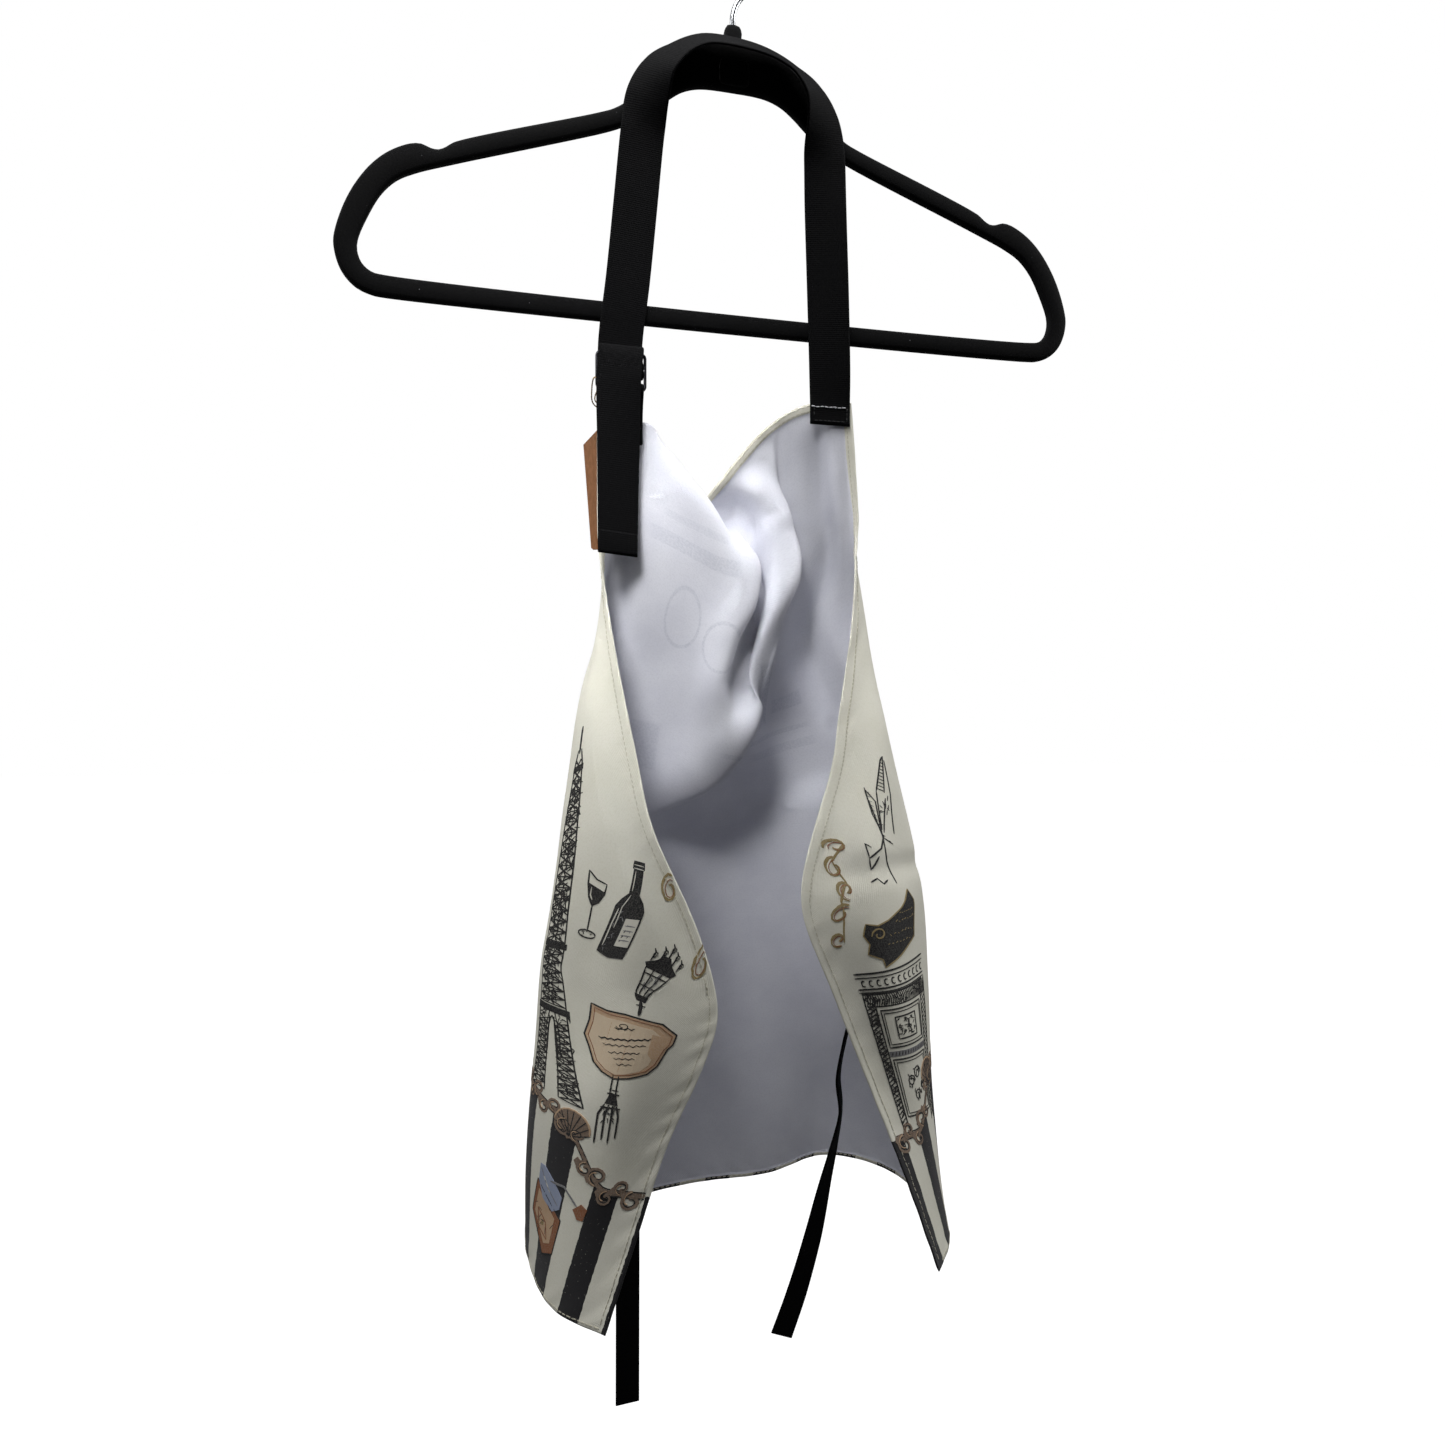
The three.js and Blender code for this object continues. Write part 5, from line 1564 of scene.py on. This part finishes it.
def draw_mill(pen, draw):
    """A coffee mill: a brown box with a drawer, a blue-grey dome, a crank and its knob."""
    pen.fill("brown", [(0.17, 0.81), (0.6, 0.36), (0.48, 0.01), (0.28, 0.01), (0.0, 0.48)])
    pen.fill("tan", [(0.2, 0.7), (0.5, 0.38), (0.42, 0.12), (0.3, 0.12), (0.08, 0.47)],
             layer=1)
    pen.outline("black", [(0.17, 0.81), (0.6, 0.36), (0.48, 0.01), (0.28, 0.01),
                          (0.0, 0.48)], 0.6)
    pen.outline("brown", [(0.17, 0.5), (0.34, 0.34), (0.36, 0.16), (0.18, 0.3)], 0.7, layer=3)
    pen.fill("gold", arc(0.27, 0.33, 0.03, 0.025, 0, 330, 8), layer=3)
    pen.fill("blue", [(0.25, 0.97), (0.34, 0.94), (0.48, 0.8), (0.62, 0.6), (0.58, 0.48),
                      (0.46, 0.46), (0.28, 0.6), (0.2, 0.8)], layer=2)
    pen.stroke("grey", [(0.27, 0.92), (0.38, 0.72), (0.55, 0.52)], 0.6, layer=3)
    pen.stroke("cream", [(0.3, 0.86), (0.42, 0.66)], 0.8, layer=3)
    pen.stroke("grey", [(0.44, 0.78), (0.66, 0.72), (0.84, 0.5)], 1.0, layer=3)
    pen.fill("brown", [(0.78, 0.48), (0.9, 0.52), (0.98, 0.44), (0.92, 0.33), (0.84, 0.36)],
             layer=2)
    scribble(pen, "black", (0.1, 0.2, 0.5, 0.6), 14, (0.04, 0.04), 0.4, draw)


def draw_vanes(pen, draw):
    """The sails and roof of an old mill in quick pen lines."""
    lines = [[(0.08, 0.71), (0.3, 0.52), (0.58, 0.38)], [(0.08, 0.7), (0.38, 0.62),
             (0.6, 0.32)], [(0.2, 0.62), (0.58, 0.36)], [(0.6, 0.38), (0.5, 0.28),
             (0.2, 0.2), (0.1, 0.3), (0.24, 0.28)], [(0.58, 0.34), (0.66, 0.2), (0.86, 0.02)],
             [(0.2, 0.03), (0.36, 0.06), (0.5, 0.02), (0.62, 0.05)],
             [(0.4, 0.7), (0.52, 0.94), (0.6, 0.98), (0.66, 0.7)],
             [(0.4, 0.7), (0.56, 0.42)], [(0.7, 0.66), (0.62, 0.4)],
             [(0.66, 0.95), (0.9, 0.7), (0.98, 0.4)], [(0.6, 0.36), (0.9, 0.32)],
             [(0.2, 0.2), (0.24, 0.12), (0.34, 0.16), (0.44, 0.22)]]
    for line in lines:
        pen.stroke("black", line, 0.7)
    for k in range(9):
        y = 0.72 + 0.026 * k
        pen.stroke("black", [(0.42 + 0.012 * k, y), (0.66 - 0.002 * k, y - 0.01)], 0.5)
    for k in range(10):
        t = k / 9
        pen.stroke("grey", [(0.12 + 0.42 * t, 0.68 - 0.28 * t),
                            (0.2 + 0.38 * t, 0.68 - 0.3 * t)], 0.5)
    scribble(pen, "black", (0.45, 0.3, 0.9, 0.7), 16, (0.05, 0.02), 0.45, draw)


PLAQUE = [(0.0, 0.54), (0.2, 0.53), (0.36, 0.6), (0.6, 0.76), (0.87, 0.985), (0.95, 0.83),
          (1.0, 0.37), (0.66, 0.16), (0.38, 0.01), (0.33, 0.11), (0.1, 0.16), (0.11, 0.29),
          (0.0, 0.39)]


def draw_plaque(pen, draw):
    """A black enamel plaque with a gold edge and plain gold dashes."""
    pen.fill("black", PLAQUE)
    pen.outline("gold", PLAQUE, 0.7)
    pen.stroke("gold", spiral(0.24, 0.42, 0.12, 0.09, 200, -200), 0.8)
    for y, x0, x1 in ((0.66, 0.55, 0.9), (0.56, 0.5, 0.95), (0.42, 0.42, 0.95),
                      (0.3, 0.4, 0.92)):
        count = 7
        for k in range(count):
            x = x0 + (x1 - x0) * k / count
            lean = 0.12 * (x - 0.4)
            pen.stroke("gold", [(x, y + lean), (x + 0.03, y + lean + draw.uniform(-0.02, 0.03))],
                       0.7)


def draw_arch(pen, draw):
    """A classical stone arch: a toothed cornice, hatched piers and framed panels."""
    for y, width in ((1.0, 0.9), (0.975, 0.5), (0.905, 0.8), (0.885, 0.5)):
        pen.stroke("black", [(-0.03, y), (0.3, y), (0.6, y), (1.0, y)], width)
    for k in range(11):
        x = 0.06 + 0.09 * k
        pen.stroke("black", arc(x, 0.94, 0.028, 0.018, 60, 300, 7), 0.7)
    for k in range(34):
        x = 0.03 + 0.029 * k
        pen.stroke("black", [(x, 0.87), (x + 0.02, 0.835), (x - 0.005, 0.8)], 0.6)
    pen.fill("black", [(0.0, 0.88), (0.95, 0.88), (0.95, 0.868), (0.0, 0.868)])
    pen.fill("black", [(0.02, 0.8), (0.95, 0.8), (0.95, 0.792), (0.02, 0.792)])
    for x0, x1 in ((0.0, 0.12), (0.88, 1.0)):
        for x in (x0, x1):
            pen.stroke("black", [(x, 0.88), (x + 0.004, 0.4), (x, 0.0)], 0.9)
        for k in range(30):
            y = 0.02 + 0.026 * k
            pen.stroke("black", [(x0 + 0.01, y), (x1 - 0.01, y + 0.03)], 0.7)
    scribble(pen, "black", (0.01, 0.04, 0.12, 0.86), 110, (0.03, 0.012), 0.7, draw)
    scribble(pen, "black", (0.04, 0.8, 0.94, 0.87), 70, (0.02, 0.01), 0.6, draw)
    for x0, y0, x1, y1, width in ((0.17, 0.53, 0.83, 0.77, 0.8), (0.2, 0.55, 0.8, 0.75, 0.45),
                                  (0.33, 0.58, 0.68, 0.72, 0.8), (0.17, 0.08, 0.83, 0.45, 0.8),
                                  (0.21, 0.1, 0.79, 0.43, 0.4)):
        pen.outline("black", [(x0, y0), (x1, y0), (x1, y1), (x0, y1)], width)
    scribble(pen, "black", (0.36, 0.595, 0.65, 0.705), 44, (0.025, 0.01), 0.6, draw)
    pen.fill("grey", [(0.14, 0.47), (0.86, 0.47), (0.86, 0.505), (0.14, 0.505)])
    for k in range(14):
        x = 0.17 + 0.05 * k
        pen.stroke("black", [(x, 0.475), (x + 0.02, 0.5)], 0.55)
    for x, y, size in ((0.4, 0.3, 0.08), (0.55, 0.34, 0.09), (0.5, 0.2, 0.08),
                       (0.66, 0.25, 0.06)):
        pen.stroke("black", spiral(x, y, size, size * 0.5, 0, 500), 0.7)
        scribble(pen, "black", (x - size, y - 0.04, x + size, y + 0.04), 7, (0.02, 0.014),
                 0.6, draw)


def border_height(s):
    """Height above the hem, in mm, of the line where the stripes meet the cream ground."""
    away = abs(s) * MM
    fall = min(1.0, max(0.0, (away - BORDER_STEP[0]) / (BORDER_STEP[1] - BORDER_STEP[0])))
    fall = fall * fall * (3 - 2 * fall)
    rise = max(0.0, 1 - away / BORDER_STEP[0])
    return (BORDER_EDGE + BORDER_DROP * (1 - fall) + BORDER_RISE * rise) / MM


def draw_border(pen):
    """Bronze scrollwork along the top of the stripes: curls, a ribbon line and shells."""
    line = [(s, border_height(s)) for s in np.arange(-262, 262.5, 3)]
    for shift, ink, width in ((0.0, "bronze", 2.4), (1.7, "black", 0.6), (-1.6, "black", 0.6)):
        pen.stroke(ink, [(s, h + shift) for s, h in line], width, layer=1)
    for k, s in enumerate(np.arange(-255, 256, 8.5)):
        h = border_height(s)
        way = 1 if k % 2 else -1
        size = 5.4 if k % 3 else 7.2
        lean = -90 * way
        pen.stroke("bronze", spiral(s, h + 3.4 * way, size, size * 0.72, lean, lean + 400 * way),
                   2.0)
        pen.stroke("black", spiral(s, h + 3.4 * way, size * 0.84, size * 0.6, lean,
                                   lean + 360 * way, 11), 0.6, layer=3)
        pen.stroke("tan", spiral(s, h + 3.6 * way, size * 1.02, size * 0.76, lean,
                                 lean + 150 * way, 7), 0.5, layer=4)
        pen.fill("bronze", [(s + 3, h), (s + 5.5, h + 3.4 * way), (s + 7.5, h + 1 * way),
                            (s + 5.5, h - 1.5 * way)], layer=3)
    for s in (-208, -70, 70, 208):
        h = border_height(s)
        fan = [(s, h - 5)] + arc(s, h + 1, 11, 11, 0, 180, 11)
        pen.fill("bronze", fan, layer=1)
        for point in arc(s, h + 1, 11, 11, 0, 180, 9):
            pen.stroke("black", [(s, h - 4), point], 0.55, layer=3)
        pen.stroke("tan", arc(s, h + 1, 11, 11, 0, 180, 11), 0.9, layer=3)


FRAMES = {
    "tower": ((-166, 104), (-212, 107), (-138, 312), (-126, 308)),
    "glass": ((-178, 209), (-188, 209), (-180.4, 236), (-168, 240)),
    "bottle": ((-191, 204), (-205, 203), (-202, 245), (-186, 247)),
    "lamp": ((-215, 180), (-231, 175), (-235, 207), (-214, 212)),
    "paper": ((-206, 129), (-249, 140), (-240, 188), (-196, 176)),
    "foot": ((-220, 90), (-234, 91), (-227, 135), (-215.5, 135)),
    "curl_high": ((-210, 229), (-220, 229), (-214, 243), (-206, 243)),
    "curl_low": ((-242, 196), (-253, 196), (-244, 215), (-236, 215)),
    "mill": ((-189, 12), (-238, 36), (-221, 79), (-181, 61)),
    "scroll": ((262, 165), (247, 168), (213, 223), (230, 222)),
    "vanes": ((223.5, 200), (199, 200), (152, 274), (174.5, 272)),
    "plaque": ((242, 159), (206, 157), (192, 198), (225, 199)),
    "arch": ((251, 69.5), (206, 66), (195, 162), (247, 154)),
}


def sew(pen, line, draw):
    """A row of thread stitches along a line of flat places."""
    way = pen.dense(line, 0.8)
    k = 0
    while k + 4 < len(way):
        reach = 3 if draw.random() < 0.8 else 4
        a, b = way[k], way[k + reach]
        turn = draw.uniform(-0.12, 0.12)
        pen.stroke("cream", [(a[0], a[1] + turn), ((a[0] + b[0]) / 2, (a[1] + b[1]) / 2),
                             (b[0], b[1] - turn)], 0.5)
        k += reach + 1


def make_hem_stitching(cloth):
    """The hems' thread rows, on both faces of the cloth."""
    draw = random.Random(11)
    heights = np.arange(4, APRON_LENGTH - 6, 6)
    for side, base, name in ((1, CLOTH_THICK / 2 + HEM_FOLD * 0.8, "hem_thread_inner_"),
                             (-1, CLOTH_THICK / 2, "hem_thread_outer_")):
        pen = Pen(cloth, side, base)
        for way in (-1, 1):
            sew(pen, [(way * (half_width(h) - 4.8), h) for h in heights], draw)
        top = half_width(APRON_LENGTH) - 5
        start = -20 if side > 0 else -top
        for away in (4.4, 1.6):
            sew(pen, [(start, APRON_LENGTH - away), (top, APRON_LENGTH - away)], draw)
        sew(pen, [(-HALF_WIDE + 5, 1.9), (0, 1.9), (HALF_WIDE - 5, 1.9)], draw)
        pen.done(name, "thread_")


def make_print(cloth):
    draw = random.Random(7)
    pen = Pen(cloth)
    draw_border(pen)
    for name, drawing in (("tower", draw_tower), ("glass", draw_glass),
                          ("bottle", draw_bottle), ("lamp", draw_lamp),
                          ("paper", draw_paper), ("foot", draw_post_foot),
                          ("mill", draw_mill), ("vanes", draw_vanes),
                          ("plaque", draw_plaque), ("arch", draw_arch)):
        pen.frame(*FRAMES[name])
        drawing(pen, draw)
    pen.frame(*FRAMES["scroll"])
    draw_scroll(pen)
    for name in ("curl_high", "curl_low"):
        pen.frame(*FRAMES[name])
        draw_curl(pen)
    pen.done()


# ---------------------------------------------------------------- making

TIE_SEAM_ROWS = (-2.6, 0.2, 3.0)


def make_ties():
    """Two limp tapes, each with three rows of stitches where it is sewn on."""
    for name, stations, node, seam in (
            ("waist_tie_tape_left", TIE_LEFT, "waist_tie_left", "tie_stitching_left"),
            ("waist_tie_tape_right", TIE_RIGHT, "waist_tie_right", "tie_stitching_right")):
        body = "tie_" + node.rsplit("_", 1)[1]
        piece, path = tape(name, stations, TIE_WIDTH, TIE_THICK, 130, MATERIAL["tape"], body,
                           (node,), bead=0.04)
        middle = sum(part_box(seam), Vector()) / 2 / MM
        across = np.array(stations[0][3])
        first, second = (np.array(station[:3]) for station in stations[:2])
        along = unit(second - first)
        facing = np.cross(across, along)
        if facing.dot(np.array(middle) - first) < 0:
            facing = -facing
        centre = (first + second) / 2
        lines = []
        for down in TIE_SEAM_ROWS:
            start = centre - across * 5.4 + along * down + facing * (TIE_THICK / 2 + 0.1)
            lines.append([tuple(start + across * x) for x in np.arange(0, 10.9, 1.2)])
        bar = make_seam(name.replace("tape", "seam"), lines, 0.26, "black_thread", body, (seam,),
                        facing=tuple(facing))


make_ties()
cloth = Cloth(3.2)
apron = make_apron(cloth)
make_print(cloth)
make_hem_stitching(cloth)
make_hook()
make_nut()
make_hanger()
make_strap()
make_buckle()
make_strap_seams()
make_tail_hem()
make_tag()
make_tag_string()


# ---------------------------------------------------------------- room

AMBIENT = 0.042
FLOOR_FAR = 12.0
FLOOR_LEVEL = -1.05
# Each light: its name, its place, what it is aimed at, its size, its power, its spread in degrees.
LIGHTS = [
    ("top", (-0.15, -0.22, 0.45), (0, 0, -0.45), 0.4, 8.4, 180),
    ("bib", (-0.3, -0.45, 0.02), (-0.07, 0, -0.37), 0.2, 0.17, 30),
    ("left", (-1.3, 0.25, 0.35), (0, 0, -0.45), 0.7, 9.3, 180),
    ("right", (1.3, -0.15, 0.4), (0, 0, -0.4), 0.7, 14, 180),
    ("back", (0.3, 1.9, 0.3), (0, 0, -0.6), 1.6, 8, 180),
]


def make_world():
    """White to the camera and faint light to everything else."""
    world = bpy.data.worlds.new("world")
    world.use_nodes = True
    tree = world.node_tree
    seen = tree.nodes["Background"]
    seen.inputs[0].default_value = (1, 1, 1, 1)
    seen.inputs[1].default_value = 1.0
    lit = tree.nodes.new("ShaderNodeBackground")
    lit.inputs[0].default_value = (0.93, 0.95, 1, 1)
    lit.inputs[1].default_value = AMBIENT
    share = tree.nodes.new("ShaderNodeMixShader")
    tree.links.new(tree.nodes.new("ShaderNodeLightPath").outputs["Is Camera Ray"],
                   share.inputs[0])
    tree.links.new(lit.outputs[0], share.inputs[1])
    tree.links.new(seen.outputs[0], share.inputs[2])
    tree.links.new(share.outputs[0], tree.nodes["World Output"].inputs[0])
    bpy.context.scene.world = world
    bpy.context.scene.view_settings.view_transform = "Standard"


def make_floor():
    """A plain pale floor below the object, white to the camera."""
    floor_mesh = bpy.data.meshes.new("floor")
    corners = [(x * FLOOR_FAR, y * FLOOR_FAR, FLOOR_LEVEL)
               for x, y in ((-1, -1), (1, -1), (1, 1), (-1, 1))]
    floor_mesh.from_pydata(corners, [], [(0, 1, 2, 3)])
    floor = bpy.data.objects.new("floor", floor_mesh)
    bpy.context.scene.collection.objects.link(floor)
    m = Nodes("floor_white")
    place = m.object_place()
    m.set(Base_Color=m.mix(m.noise(place, 3, 3), rgb(126, 126, 127), rgb(121, 121, 122)),
          Roughness=0.9)
    floor_mesh.materials.append(m.material)
    m.set(Emission_Color=(1, 1, 1, 1),
          Emission_Strength=m.node("ShaderNodeLightPath").outputs["Is Camera Ray"])


def make_lights():
    for name, place, aim, size, power, spread in LIGHTS:
        data = bpy.data.lights.new(name, "AREA")
        data.size = size
        data.energy = power
        data.spread = math.radians(spread)
        light = bpy.data.objects.new(name, data)
        light.location = place
        light.visible_camera = False
        aim_way = Vector(aim) - Vector(place)
        light.rotation_euler = aim_way.to_track_quat("-Z", "Y").to_euler()
        bpy.context.scene.collection.objects.link(light)


make_world()
make_floor()
make_lights()
